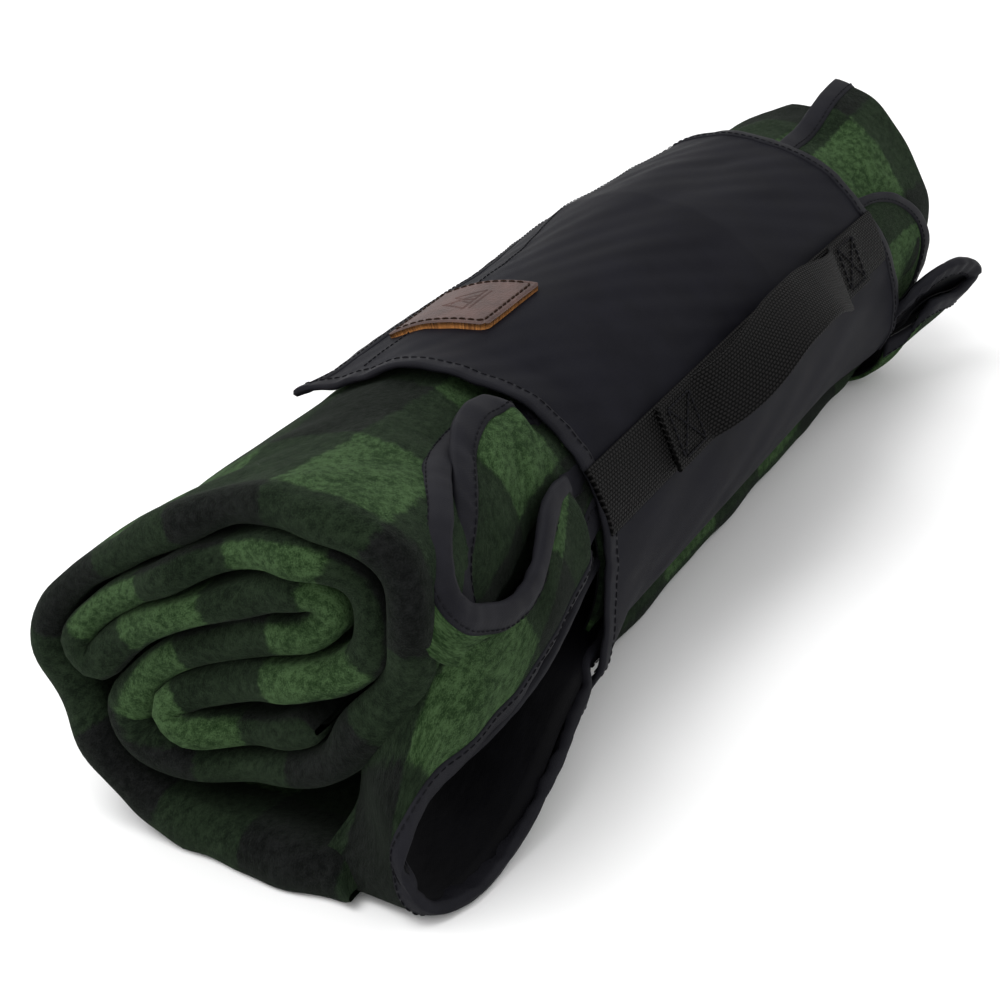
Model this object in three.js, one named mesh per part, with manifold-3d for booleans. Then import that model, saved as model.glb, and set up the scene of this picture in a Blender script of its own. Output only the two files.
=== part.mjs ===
// A rolled camp blanket: a plaid fleece blanket with a waterproof backing, folded into a strip,
// rolled up, and held by a cover flap that carries a webbing handle and a leather patch.
//
// Millimetres. +Z is up, and X runs along the roll, from its near end (-X) to its far end (+X).
// The handle is on the -Y side. The origin is on the ground, under the middle of the object.
// Angles round the roll start at the -Y side and grow upwards over the top to the +Y side.

import * as THREE from 'three';
import { mergeVertices } from 'three/addons/utils/BufferGeometryUtils.js';
import Module from 'manifold-3d';

const wasm = await Module();
wasm.setup();

const { Shape, Vector2, Vector3, Matrix4 } = THREE;

// ---- driving dimensions ----

const GAP = 0.3;                  // clearance between pieces that touch
const PLY_GAP = 0.45;             // clearance between the layers of the cloth

const NEAR_END = -247;            // near face of the rolled strip
const FAR_END = 251;              // far face of the rolled strip
const EDGE_TAPE = 4;              // how far the binding reaches past the cloth's far edges
const ROLL_Y = 2;                 // axis of the roll
const ROLL_Z = 61;
const CENTRE_SHIFT = 4.35;        // sideways move that centres the whole object over the origin

const STRIP = 6.8;                // folded strip of four plies
const FLEECE = 1.0;               // knitted fleece face
const PADDING = 0.8;              // wadding under the fleece
const STRIP_MID = 58.6;           // radius of the outermost turn's middle, under the cover
const STRIP_END_FROM = -21;       // angles that the loose end of the strip covers
const STRIP_END_TO = 58;

const COVER_INNER = 63.3;         // inside radius of the cover
const LINING = 0.8;
const COVER_CLOTH = 1.2;
const COVER_NEAR = -126;          // the cover's two rims
const COVER_FAR = 170;
const SEAM_ANGLE = -34;           // where the cover is sewn to the blanket
const SEAM_TAPE_ANGLES = [SEAM_ANGLE - 9, SEAM_ANGLE - 0.4];
const FREE_ANGLE = 133;           // the cover's free edge
const RIM_WIDTH = 7;              // width of the binding round the cover
const RIM_THICKNESS = 1.0;

const WEBBING = 25;               // width of the strap and of the handle
const STRAP_ANGLE = 24;
const STRAP_THICKNESS = 1.5;
const HANDLE_THICKNESS = 1.8;
const HANDLE_RISE = 18;           // finger room under the middle of the handle
const HANDLE_LEAN = 30;           // how far the free loop leans upwards
const HANDLE_FROM = -70;          // outer edge of the near sewn end
const HANDLE_TO = 142;            // outer edge of the far sewn end
const SEWN_LENGTH = 29;           // length of each sewn end
const LEG_SHARE = 0.4;            // part of each half of the handle that stays with the cover

const PATCH_FROM = -83;
const PATCH_LENGTH = 44;
const PATCH_ANGLES = [88, 125];
const PATCH_THICKNESS = 2.2;

// The cloth's loose bound edges: narrow U-shaped folds beside the roll. Each lies at a place, turned by
// angles about X and Z, and is that wide and high, with walls of cloth and a band of tape along the rim.
const NEAR_FOLD = { at: [-234, -71.7, 24], turnX: 61, turnZ: 3, width: 102, height: 34, wall: 2.6 };
const NEAR_FOLD_DEPTHS = { cloth: 11, tape: 5 };
const FAR_FOLD = { at: [236, -71, 47], turnX: 100, turnZ: 176, width: 62, height: 20, wall: 2.4 };
const FAR_FOLD_DEPTHS = { cloth: 9, tape: 4 };
const EDGE_LOOP = { at: [-196, -51, 96], turnX: 51, turnZ: 2, width: 66, height: 38, wall: 7 };
const EDGE_LOOP_DEPTH = 5;

// Middle line of the strip at the near face, as (y, z), from its inner end outwards: a few folds back
// and forth, then one full turn round them, down the +Y side and under the roll.
const INNER_TURNS = [
  [-20, 57], [-9, 51], [5, 46], [20, 43], [31, 43], [36, 48], [31, 54], [19, 60], [5, 65], [-14, 72],
  [-27, 78], [-35, 87], [-36, 97], [-32, 108], [-22, 115], [-9, 115], [5, 111], [18, 105], [32, 96],
  [47, 88], [60, 80], [69, 70], [71, 62], [64, 58], [54, 67], [40, 79], [24, 88], [6, 96], [-8, 101],
  [-18, 102], [-23, 96], [-17, 88], [-4, 83], [13, 78], [26, 72], [38, 64], [48, 53], [54, 43],
  [50, 33], [39, 29], [17, 31], [-1, 36], [-15, 41], [-30, 51], [-41, 65], [-48, 79], [-50, 93],
  [-50, 105], [-46, 116], [-36, 125], [-20, 129], [-3, 127], [14, 121], [34, 111], [53, 97], [69, 83],
  [79, 71], [82, 59], [77, 44], [68, 30], [57, 19], [44, 9.5], [33, 5.5],
];
const FOOT_FROM = 24;             // the flat underside that the roll rests on
const FOOT_TO = -30;
const OUTER_TURN_END = [[-40, 4.8], [-52, 8.5], [-62, 16], [-67, 30]];

// Radius of the outermost turn's middle at the near face, by angle. Under the cover it is STRIP_MID.
const SPLAY = [
  [0, 70], [31, 73], [45, 84], [60, 89], [73, 77], [85, 66], [102, 60], [122, 58.6], [146, 61], [164, 70],
  [178, 79], [193, 75], [206, 72], [222, 66], [240, STRIP_MID], [300, STRIP_MID], [307, 68], [316, 75],
  [325, 78], [337, 76], [360, 70],
];
const FULLY_GATHERED = 45;        // radius beyond which the turns are gathered in fully
const SPLAY_ENDS = -205;          // where the near end's wider shape has settled to the covered one

// ---- materials ----

const cloth = (color, roughness) => new THREE.MeshStandardMaterial({ color, roughness, metalness: 0 });
const fleeceGreen = cloth(0x3b6337, 0.95);
const wadding = cloth(0xd8d8d2, 1.0);
const backingCloth = cloth(0x17171b, 0.55);
const bindingCloth = cloth(0x2f3038, 0.6);
const coverCloth = cloth(0x24252c, 0.6);
const liningCloth = cloth(0x1c1d22, 0.8);
const strapWeave = cloth(0x191919, 0.7);
const thread = cloth(0x101012, 0.6);
const hookNylon = cloth(0x121214, 0.8);
const leather = cloth(0x57392f, 0.7);
const leatherThread = cloth(0x2a1c16, 0.7);

// ---- geometry helpers ----

const rad = THREE.MathUtils.degToRad;

function around(radius, angle) {
  return [ROLL_Y - radius * Math.cos(rad(angle)), ROLL_Z + radius * Math.sin(rad(angle))];
}

function polar([y, z]) {
  const angle = THREE.MathUtils.radToDeg(Math.atan2(z - ROLL_Z, ROLL_Y - y));
  return { radius: Math.hypot(y - ROLL_Y, z - ROLL_Z), angle: (angle + 360) % 360 };
}

// A section drawn in (y, z) becomes a solid between two places along the roll.
const SECTION_TO_ROLL = new Matrix4().makeBasis(
  new Vector3(0, 1, 0),
  new Vector3(0, 0, 1),
  new Vector3(1, 0, 0),
);

function alongRoll(points, from, to) {
  const shape = new Shape(points.map(([y, z]) => new Vector2(y, z)));
  const solid = new THREE.ExtrudeGeometry(shape, { depth: to - from, bevelEnabled: false, steps: 1 });
  return solid.applyMatrix4(SECTION_TO_ROLL).translate(from, 0, 0);
}

// A curved plate round the roll, between two radii and two angles.
function plateSection(inner, outer, fromAngle, toAngle, steps) {
  const step = (toAngle - fromAngle) / steps;
  const angles = Array.from({ length: steps + 1 }, (_, i) => fromAngle + step * i);
  return [...angles.map((a) => around(inner, a)), ...angles.reverse().map((a) => around(outer, a))];
}

function plate(inner, outer, fromAngle, toAngle, from, to, steps = 24) {
  return alongRoll(plateSection(inner, outer, fromAngle, toAngle, steps), from, to);
}

// A closed outline that changes along X: one ring of points at each station, capped at both ends.
// The outline runs anticlockwise as seen from +X.
function loft(stations, outlineAt) {
  const rings = stations.map((x) => outlineAt(x).map(([y, z]) => new Vector3(x, y, z)));
  const count = rings[0].length;
  const positions = rings.flat().flatMap((p) => p.toArray());
  const faces = [];
  for (let s = 0; s + 1 < rings.length; s += 1) {
    for (let i = 0; i < count; i += 1) {
      const a = s * count + i;
      const b = s * count + ((i + 1) % count);
      faces.push(a, b, b + count, a, b + count, a + count);
    }
  }
  const flat = rings[0].map((p) => new Vector2(p.y, p.z));
  const last = (rings.length - 1) * count;
  for (const [a, b, c] of THREE.ShapeUtils.triangulateShape(flat, [])) {
    faces.push(a, c, b);
  }
  const flatEnd = rings[rings.length - 1].map((p) => new Vector2(p.y, p.z));
  for (const [a, b, c] of THREE.ShapeUtils.triangulateShape(flatEnd, [])) {
    faces.push(last + a, last + b, last + c);
  }
  const geometry = new THREE.BufferGeometry();
  geometry.setAttribute('position', new THREE.Float32BufferAttribute(positions, 3));
  geometry.setIndex(faces);
  return geometry;
}

function solidOf(geometry) {
  const bare = geometry.clone();
  bare.deleteAttribute('normal');
  bare.deleteAttribute('uv');
  const merged = mergeVertices(bare, 1e-4);
  return new wasm.Manifold(new wasm.Mesh({
    numProp: 3,
    vertProperties: new Float32Array(merged.attributes.position.array),
    triVerts: new Uint32Array(merged.index.array),
  }));
}

function geometryOf(solid) {
  const mesh = solid.getMesh();
  const geometry = new THREE.BufferGeometry();
  geometry.setAttribute('position', new THREE.BufferAttribute(mesh.vertProperties, 3));
  geometry.setIndex(new THREE.BufferAttribute(mesh.triVerts, 1));
  return geometry;
}

const cut = (body, tool) => geometryOf(solidOf(body).subtract(solidOf(tool)));
const join = (...pieces) => geometryOf(pieces.map(solidOf).reduce((whole, next) => whole.add(next)));

// ---- the rolled strip ----

function splayRadius(angle) {
  const next = SPLAY.findIndex(([a]) => a >= angle);
  const [a1, r1] = SPLAY[Math.max(next, 1)];
  const [a0, r0] = SPLAY[Math.max(next, 1) - 1];
  return THREE.MathUtils.lerp(r0, r1, (angle - a0) / (a1 - a0));
}

// 0 at the near face, where the strip is splayed, and 1 where the cover holds it round.
function held(x) {
  return THREE.MathUtils.clamp((x - NEAR_END) / (SPLAY_ENDS - NEAR_END), 0, 1);
}

// The outer turns are gathered in fully, and the innermost folds less, the nearer they are to the axis.
function gathered(point, x) {
  const { radius, angle } = polar(point);
  const depth = Math.min(radius / FULLY_GATHERED, 1);
  const share = 1 - held(x) * depth * (1 - STRIP_MID / splayRadius(angle));
  return around(radius * share, angle);
}

const TURN_STEPS = 96;
const innerCurve = new THREE.CatmullRomCurve3(
  [...INNER_TURNS, [FOOT_FROM, STRIP / 2]].map(([y, z]) => new Vector3(0, y, z)),
  false,
  'centripetal',
);
const stripLine = [
  ...innerCurve.getSpacedPoints(TURN_STEPS).map((p) => [p.y, p.z]),
  [FOOT_TO, STRIP / 2],
  ...OUTER_TURN_END,
];

const SHARPEST_MITRE = 0.8;       // cosine that limits how far a corner's points stand out

// Outline of a band of some thickness that follows a line of points.
function bandOutline(line, thickness) {
  const sides = line.map((p, i) => {
    const before = line[Math.max(i - 1, 0)];
    const after = line[Math.min(i + 1, line.length - 1)];
    const into = new Vector2(p[0] - before[0], p[1] - before[1]);
    const out = new Vector2(after[0] - p[0], after[1] - p[1]);
    const along = into.normalize().clone().add(out.normalize()).normalize();
    const mitre = 1 / Math.max(along.dot(out), along.dot(into), SHARPEST_MITRE);
    return new Vector2(-along.y, along.x).multiplyScalar((mitre * thickness) / 2);
  });
  const left = line.map(([y, z], i) => [y + sides[i].x, z + sides[i].y]);
  const right = line.map(([y, z], i) => [y - sides[i].x, z - sides[i].y]);
  return [...right, ...left.reverse()];
}

function shortened(line, inset) {
  const moved = (end, next) => {
    const share = inset / Math.hypot(next[0] - end[0], next[1] - end[1]);
    return [THREE.MathUtils.lerp(end[0], next[0], share), THREE.MathUtils.lerp(end[1], next[1], share)];
  };
  const last = line.length - 1;
  return [moved(line[0], line[1]), ...line.slice(1, last), moved(line[last], line[last - 1])];
}

// A solid band that follows the strip, smaller than the strip's own surface by an inset all round
// and reaching from one place along the roll to another.
function stripBand(inset, from, to) {
  const line = shortened(stripLine, inset);
  const stations = [from, SPLAY_ENDS, to].filter((x) => x >= from);
  return loft(stations, (x) => bandOutline(line.map((p) => gathered(p, x)), STRIP - 2 * inset));
}

const CLOTH_END = FAR_END - EDGE_TAPE - GAP;

// Each layer is a sleeve that turns round at the near end and stays open at the far end.
function layer(inset, wall) {
  const body = stripBand(inset, NEAR_END + inset, CLOTH_END - inset);
  const hollow = stripBand(inset + wall, NEAR_END + inset + wall, CLOTH_END + wall);
  return cut(body, hollow);
}

const PADDING_INSET = FLEECE + PLY_GAP;
const BACKING_INSET = PADDING_INSET + PADDING + PLY_GAP;

// ---- the strip's loose outer end ----

const END_PROUD = 0.2;            // how far the end stands out past the turn's own surface
const END_FROM = SPLAY_ENDS + 1;
const END_INNER = STRIP_MID - STRIP / 2 + GAP;
const END_MID = STRIP_MID + END_PROUD;
const END_OUTER = END_MID + STRIP / 2;
const END_TAPE_ANGLES = [STRIP_END_TO + 0.4, STRIP_END_TO + 3.2];
const END_TAPE_INNER = END_INNER + 1.6;
const END_STEPS = 14;

function endFleece() {
  return plate(END_MID + GAP / 2, END_OUTER, STRIP_END_FROM, STRIP_END_TO, END_FROM, FAR_END, END_STEPS);
}

function endBacking() {
  return plate(END_INNER, END_MID - GAP / 2, STRIP_END_FROM, STRIP_END_TO, END_FROM, FAR_END, END_STEPS);
}

function endBinding() {
  return plate(END_TAPE_INNER, END_OUTER, ...END_TAPE_ANGLES, END_FROM, FAR_END, 2);
}

// ---- the loose bound edges ----

function foldOutline({ width, height, wall }) {
  const turns = 10;
  const arc = (r) => Array.from({ length: turns + 1 }, (_, i) => {
    const a = rad(90 + (180 * i) / turns);
    return [r * Math.cos(a), r * Math.sin(a)];
  });
  const outer = height / 2;
  const inner = outer - wall;
  const outside = [[width, outer], ...arc(outer), [width, -outer]];
  return [...outside, [width, -inner], ...arc(inner).reverse(), [width, inner]];
}

function foldedEdge(fold, depth) {
  const shape = new Shape(foldOutline(fold).map(([u, v]) => new Vector2(u, v)));
  return new THREE.ExtrudeGeometry(shape, { depth, bevelEnabled: false, steps: 1 });
}

function placeOf({ at, turnX, turnZ }) {
  const place = new THREE.Group();
  place.position.set(...at);
  place.rotation.set(rad(turnX), 0, rad(turnZ));
  return place;
}

// ---- the cover ----

const LINING_OUTER = COVER_INNER + LINING;
const CLOTH_INNER = LINING_OUTER + GAP;
const CLOTH_OUTER = CLOTH_INNER + COVER_CLOTH;
const RIM_INNER = CLOTH_OUTER + GAP;
const RIM_OUTER = RIM_INNER + RIM_THICKNESS;
const STRAP_OUTER = RIM_INNER + STRAP_THICKNESS;
const RIM_ANGLE = (RIM_WIDTH / CLOTH_OUTER) * THREE.MathUtils.RAD2DEG;
const STRAP_HALF_ANGLE = (WEBBING / 2 / CLOTH_OUTER) * THREE.MathUtils.RAD2DEG;
const HOOK_FROM = FREE_ANGLE - 21;   // angles that the hook tape covers
const HOOK_TO = FREE_ANGLE - 2;
const COVER_STEPS = 30;

function coverPanel() {
  return plate(CLOTH_INNER, CLOTH_OUTER, SEAM_ANGLE, FREE_ANGLE, COVER_NEAR, COVER_FAR, COVER_STEPS);
}

function coverLining() {
  const inset = 2;
  const [from, to] = [COVER_NEAR + inset, COVER_FAR - inset];
  return plate(COVER_INNER, LINING_OUTER, SEAM_ANGLE + 1, HOOK_FROM - 1, from, to, COVER_STEPS);
}

// Hook tape under the free edge, which grips the fleece below it.
function hookTape() {
  const inset = 6;
  return plate(COVER_INNER, LINING_OUTER, HOOK_FROM, HOOK_TO, COVER_NEAR + inset, COVER_FAR - inset, 5);
}

function rimBinding(edge, inward) {
  const [from, to] = [edge, edge + inward * RIM_WIDTH].sort((a, b) => a - b);
  return plate(RIM_INNER, RIM_OUTER, SEAM_ANGLE, FREE_ANGLE, from, to, COVER_STEPS);
}

function freeEdgeBinding() {
  const from = COVER_NEAR + RIM_WIDTH + GAP;
  const to = COVER_FAR - RIM_WIDTH - GAP;
  return plate(RIM_INNER, RIM_OUTER, FREE_ANGLE - RIM_ANGLE, FREE_ANGLE, from, to, 3);
}

function baseStrap() {
  const from = COVER_NEAR + RIM_WIDTH + GAP;
  const to = COVER_FAR - RIM_WIDTH - GAP;
  const low = STRAP_ANGLE - STRAP_HALF_ANGLE;
  return plate(RIM_INNER, STRAP_OUTER, low, STRAP_ANGLE + STRAP_HALF_ANGLE, from, to, 6);
}

function patchPlate() {
  const [low, high] = PATCH_ANGLES;
  return plate(RIM_INNER, RIM_INNER + PATCH_THICKNESS, low, high, PATCH_FROM, PATCH_FROM + PATCH_LENGTH, 8);
}

// One raised line of thread, a little inside the patch's edge.
function patchStitches() {
  const inset = 3;
  const line = 0.9;
  const height = 0.5;
  const degrees = THREE.MathUtils.RAD2DEG / RIM_INNER;
  const bottom = RIM_INNER + PATCH_THICKNESS + GAP;
  const frame = (step, inner, outer) => plate(
    inner,
    outer,
    PATCH_ANGLES[0] + step * degrees,
    PATCH_ANGLES[1] - step * degrees,
    PATCH_FROM + step,
    PATCH_FROM + PATCH_LENGTH - step,
    6,
  );
  return cut(frame(inset, bottom, bottom + height), frame(inset + line, bottom - 1, bottom + 1));
}

// ---- the handle ----

const STANDOFF = 0.1;             // the handle's line, over the strap
const PIVOT_RADIUS = STRAP_OUTER + STANDOFF;
const [PIVOT_Y, PIVOT_Z] = around(PIVOT_RADIUS, STRAP_ANGLE);
const SPAN_FROM = HANDLE_FROM + SEWN_LENGTH;
const SPAN_TO = HANDLE_TO - SEWN_LENGTH;
const SPAN_MID = (SPAN_FROM + SPAN_TO) / 2;
const HALF_SPAN = (SPAN_TO - SPAN_FROM) / 2;
const SEWN_HEIGHT = 0.4;          // underside of the sewn ends, over the strap's crown

function riseAt(x) {
  const inward = 1 - Math.min(Math.abs(x - SPAN_MID) / HALF_SPAN, 1);
  return SEWN_HEIGHT + (HANDLE_RISE - SEWN_HEIGHT) * Math.sin((Math.PI / 2) * inward);
}

// A stretch of webbing, drawn as (x, height over the cover) and given the webbing's width.
function webbingStretch(from, to, steps) {
  const xs = Array.from({ length: steps + 1 }, (_, i) => from + ((to - from) * i) / steps);
  const under = xs.map((x) => new Vector2(x, riseAt(x)));
  const over = [...xs].reverse().map((x) => new Vector2(x, riseAt(x) + HANDLE_THICKNESS));
  return acrossHandle(new Shape([...under, ...over]), WEBBING);
}

function acrossHandle(shape, width) {
  const solid = new THREE.ExtrudeGeometry(shape, { depth: width, bevelEnabled: false, steps: 1 });
  solid.translate(0, 0, -width / 2);
  const angle = rad(STRAP_ANGLE);
  const basis = new Matrix4().makeBasis(
    new Vector3(1, 0, 0),
    new Vector3(0, -Math.cos(angle), Math.sin(angle)),
    new Vector3(0, -Math.sin(angle), -Math.cos(angle)),
  );
  return solid.applyMatrix4(basis);
}

const LEG = LEG_SHARE * HALF_SPAN;

function nearLeg() {
  const sewn = webbingStretch(HANDLE_FROM, SPAN_FROM, 1);
  return join(sewn, webbingStretch(SPAN_FROM, SPAN_FROM + LEG, 5));
}

function farLeg() {
  const sewn = webbingStretch(SPAN_TO, HANDLE_TO, 1);
  return join(sewn, webbingStretch(SPAN_TO - LEG, SPAN_TO, 5));
}

function handleLoop() {
  return webbingStretch(SPAN_FROM + LEG + GAP, SPAN_TO - LEG - GAP, 14).rotateX(-rad(HANDLE_LEAN));
}

// A box of stitches with a cross in it: a rectangle with four triangular holes.
function boxStitch(centre) {
  const half = 9;
  const line = 1.1;
  const height = 0.5;
  const inner = half - line;
  const cross = line * 0.75;
  const square = (s) => [[-s, -s], [s, -s], [s, s], [-s, s]].map(([u, v]) => new Vector2(u, v));
  const shape = new Shape(square(half));
  for (let side = 0; side < 4; side += 1) {
    const turn = (side * Math.PI) / 2;
    const corners = [[-inner + cross, inner], [inner - cross, inner], [0, cross]];
    const turned = corners.map(([u, v]) => new Vector2(u, v).rotateAround(new Vector2(), turn));
    shape.holes.push(new THREE.Path(turned));
  }
  const solid = new THREE.ExtrudeGeometry(shape, { depth: height, bevelEnabled: false, steps: 1 });
  const angle = rad(STRAP_ANGLE);
  const basis = new Matrix4().makeBasis(
    new Vector3(1, 0, 0),
    new Vector3(0, Math.sin(angle), Math.cos(angle)),
    new Vector3(0, -Math.cos(angle), Math.sin(angle)),
  );
  const top = SEWN_HEIGHT + HANDLE_THICKNESS + GAP;
  return solid.translate(centre, 0, top).applyMatrix4(basis);
}

// ---- assembly ----

const model = new THREE.Group();
model.position.y = CENTRE_SHIFT;

function add(name, geometry, material, parent = model) {
  const mesh = new THREE.Mesh(geometry, material);
  mesh.name = name;
  parent.add(mesh);
  return mesh;
}

add('fleece_face', layer(0, FLEECE), fleeceGreen);
add('padding', layer(PADDING_INSET, PADDING), wadding);
add(
  'waterproof_backing',
  stripBand(BACKING_INSET, NEAR_END + BACKING_INSET, CLOTH_END - BACKING_INSET),
  backingCloth,
);
add('far_edge_binding', stripBand(0, FAR_END - EDGE_TAPE, FAR_END), bindingCloth);
add('strip_end_fleece', endFleece(), fleeceGreen);
add('strip_end_backing', endBacking(), backingCloth);
add('strip_end_binding', endBinding(), bindingCloth);

// A loose fold of cloth with its bound rim. One lies beside the near end, and one past the far rim.
function addFold(name, fold, depths) {
  const place = placeOf(fold);
  model.add(place);
  const tape = foldedEdge(fold, depths.tape).translate(0, 0, depths.cloth + GAP);
  add(name, foldedEdge(fold, depths.cloth), fleeceGreen, place);
  add(`${name}_binding`, tape, bindingCloth, place);
}

addFold('near_fold', NEAR_FOLD, NEAR_FOLD_DEPTHS);
addFold('far_fold', FAR_FOLD, FAR_FOLD_DEPTHS);

// The inner turn's bound edge lies on the roll between the near end and the cover.
const edgeLoop = placeOf(EDGE_LOOP);
model.add(edgeLoop);
add('inner_edge_binding', foldedEdge(EDGE_LOOP, EDGE_LOOP_DEPTH), bindingCloth, edgeLoop);

// The cover's seam tape stays on the blanket.
add(
  'seam_tape',
  plate(COVER_INNER, CLOTH_OUTER, ...SEAM_TAPE_ANGLES, COVER_NEAR, COVER_FAR, 3),
  bindingCloth,
);

add('cover_panel', coverPanel(), coverCloth);
add('cover_lining', coverLining(), liningCloth);
add('hook_tape', hookTape(), hookNylon);
add('near_rim_binding', rimBinding(COVER_NEAR, 1), bindingCloth);
add('far_rim_binding', rimBinding(COVER_FAR, -1), bindingCloth);
add('free_edge_binding', freeEdgeBinding(), bindingCloth);
add('base_webbing', baseStrap(), strapWeave);
add('leather_patch', patchPlate(), leather);
add('patch_stitching', patchStitches(), leatherThread);

const handle = new THREE.Group();
handle.position.set(0, PIVOT_Y, PIVOT_Z);
model.add(handle);
add('handle_near_end', nearLeg(), strapWeave, handle);
add('handle_far_end', farLeg(), strapWeave, handle);
add('handle_loop', handleLoop(), strapWeave, handle);
add('near_box_stitch', boxStitch(HANDLE_FROM + SEWN_LENGTH / 2), thread, handle);
add('far_box_stitch', boxStitch(HANDLE_TO - SEWN_LENGTH / 2), thread, handle);

export default model;
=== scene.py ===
"""The looks of a rolled camp blanket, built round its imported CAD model.

Lengths in this script are millimetres, in the CAD frame: +Z up, X along the roll from its near end (-X)
to its far end (+X), and the carry handle on the -Y side. Angles round the roll start at the -Y side and
grow upwards over the top. Meshes are turned into metres where they are made.
"""
import math

import bpy
import numpy as np
from mathutils import Matrix, Vector


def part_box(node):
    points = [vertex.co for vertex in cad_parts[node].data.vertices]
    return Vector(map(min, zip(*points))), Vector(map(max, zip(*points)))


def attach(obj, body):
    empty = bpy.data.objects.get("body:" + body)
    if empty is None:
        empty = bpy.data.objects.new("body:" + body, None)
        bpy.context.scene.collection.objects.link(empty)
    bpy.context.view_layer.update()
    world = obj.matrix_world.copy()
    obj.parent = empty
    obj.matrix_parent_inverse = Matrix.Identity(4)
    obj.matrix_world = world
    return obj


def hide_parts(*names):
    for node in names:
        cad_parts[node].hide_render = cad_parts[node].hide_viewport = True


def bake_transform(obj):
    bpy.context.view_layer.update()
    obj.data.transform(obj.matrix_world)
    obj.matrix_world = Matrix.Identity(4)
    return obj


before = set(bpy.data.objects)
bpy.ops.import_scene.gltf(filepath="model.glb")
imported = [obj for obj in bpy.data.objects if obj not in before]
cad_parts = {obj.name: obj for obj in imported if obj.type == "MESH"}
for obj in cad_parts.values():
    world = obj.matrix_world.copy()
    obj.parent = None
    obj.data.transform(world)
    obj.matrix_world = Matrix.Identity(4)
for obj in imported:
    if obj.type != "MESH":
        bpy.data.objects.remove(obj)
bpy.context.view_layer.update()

# ---- driving dimensions ----

METRES = 0.001


def cad_box(node):
    """Lowest and highest corner of a CAD node, in millimetres."""
    return np.array(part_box(node)) / METRES


CLOTH_OUTER = 65.6                # radius of the cover's outer face
NEAR_END = cad_box("fleece_face")[0, 0]
FAR_END = cad_box("far_edge_binding")[1, 0]
COVER_LOW, COVER_HIGH = cad_box("cover_panel")
COVER_NEAR, COVER_FAR = COVER_LOW[0], COVER_HIGH[0]
AXIS_Y = COVER_LOW[1] + CLOTH_OUTER
AXIS_Z = COVER_HIGH[2] - CLOTH_OUTER
SEAM_ANGLE = -34.0
FREE_ANGLE = 133.0
STRAP_ANGLE = 24.0
WEBBING = 25.0

# The far half of the roll is wound a little tighter, and it rests on the ground all along.
TAPER_FROM = 60.0
TAPER = 0.09
DRIFT_Y = -3.0

CHECK_ALONG = 36.0                # one band of the check, along the rolled strip
CHECK_ACROSS = 50.0               # and along the roll
ON_FLOOR = 0.3                    # nothing goes lower than this
FLAT_BLANKET = (2.0, 1.05)        # metres, before it was folded and rolled
FLAT_LAYER = (1.94, 0.98)         # the layers inside, cut short of the bound edges


def smooth(x, low, high):
    """0 below low, 1 above high, and an even curve between them."""
    t = np.clip((np.asarray(x, float) - low) / (high - low), 0, 1)
    return t * t * (3 - 2 * t)


def around(x, angle, radius):
    """Points round the roll, as an array whose last axis is x, y, z."""
    x, angle, radius = np.broadcast_arrays(*(np.asarray(v, float) for v in (x, angle, radius)))
    lean = np.clip((x - TAPER_FROM) / (FAR_END - TAPER_FROM), 0, 1)
    a = np.radians(angle)
    size = 1 - TAPER * lean
    y = AXIS_Y + DRIFT_Y * lean - radius * size * np.cos(a)
    return np.stack([x, y, AXIS_Z * size + radius * size * np.sin(a)], -1)


# ---- mesh helpers ----

def waves(points, length, seed, count=7):
    """Smooth bumps between about -1 and 1, some `length` apart."""
    rng = np.random.default_rng(seed)
    directions = rng.normal(size=(count, 3))
    directions /= np.linalg.norm(directions, axis=1)[:, None]
    speeds = 2 * math.pi / (length * rng.uniform(0.7, 1.5, count))
    phases = rng.uniform(0, 2 * math.pi, count)
    total = sum(np.sin(points @ d * s + p) for d, s, p in zip(directions, speeds, phases))
    return total / math.sqrt(count)


def curve_through(points, count):
    """A smooth line through a few points, resampled evenly."""
    p = np.asarray(points, float)
    p = np.vstack([2 * p[0] - p[1], p, 2 * p[-1] - p[-2]])
    knots = np.cumsum(np.r_[0, np.sqrt(np.linalg.norm(np.diff(p, axis=0), axis=1))])
    line = []
    for i in range(1, len(p) - 2):
        t = np.linspace(knots[i], knots[i + 1], 24, endpoint=False)[:, None]
        k = knots[i - 1 : i + 3]
        q = p[i - 1 : i + 3]
        a = [((k[j + 1] - t) * q[j] + (t - k[j]) * q[j + 1]) / (k[j + 1] - k[j]) for j in range(3)]
        b = [((k[j + 2] - t) * a[j] + (t - k[j]) * a[j + 1]) / (k[j + 2] - k[j]) for j in range(2)]
        line.append(((k[2] - t) * b[0] + (t - k[1]) * b[1]) / (k[2] - k[1]))
    line.append(p[-2][None])
    return resampled(np.vstack(line), count)


def lengths_along(line):
    return np.r_[0, np.cumsum(np.linalg.norm(np.diff(line, axis=0), axis=1))]


def taken_at(where, along, values):
    """Rows of values, each a certain length along a line, interpolated at other lengths."""
    return np.stack([np.interp(where, along, column) for column in values.T], -1)


def resampled(line, count):
    along = lengths_along(line)
    return taken_at(np.linspace(0, along[-1], count), along, line)


def unit(vectors):
    return vectors / np.maximum(np.linalg.norm(vectors, axis=-1, keepdims=True), 1e-9)


def smoothed(values, passes):
    """Each value moved towards its neighbours' mean, a few times."""
    v = np.array(values, float)
    for _ in range(passes):
        padded = np.concatenate([v[:1], v, v[-1:]])
        v = (padded[:-2] + 2 * padded[1:-1] + padded[2:]) / 4
    return v


def normals_of(grid):
    """Unit normals of a grid of points, by its first axis crossed with its second."""
    return unit(np.cross(np.gradient(grid, axis=0), np.gradient(grid, axis=1)))


def facing(grid, row, col, way):
    """The grid, with its rows in the order that turns its normal at one point towards `way`."""
    return grid[::-1] if (normals_of(grid)[row, col] * way).sum() < 0 else grid


def rumpled(grid, size, length, seed):
    """The grid with smooth bumps along its normals."""
    return grid + normals_of(grid) * (size * waves(grid, length, seed))[..., None]


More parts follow.
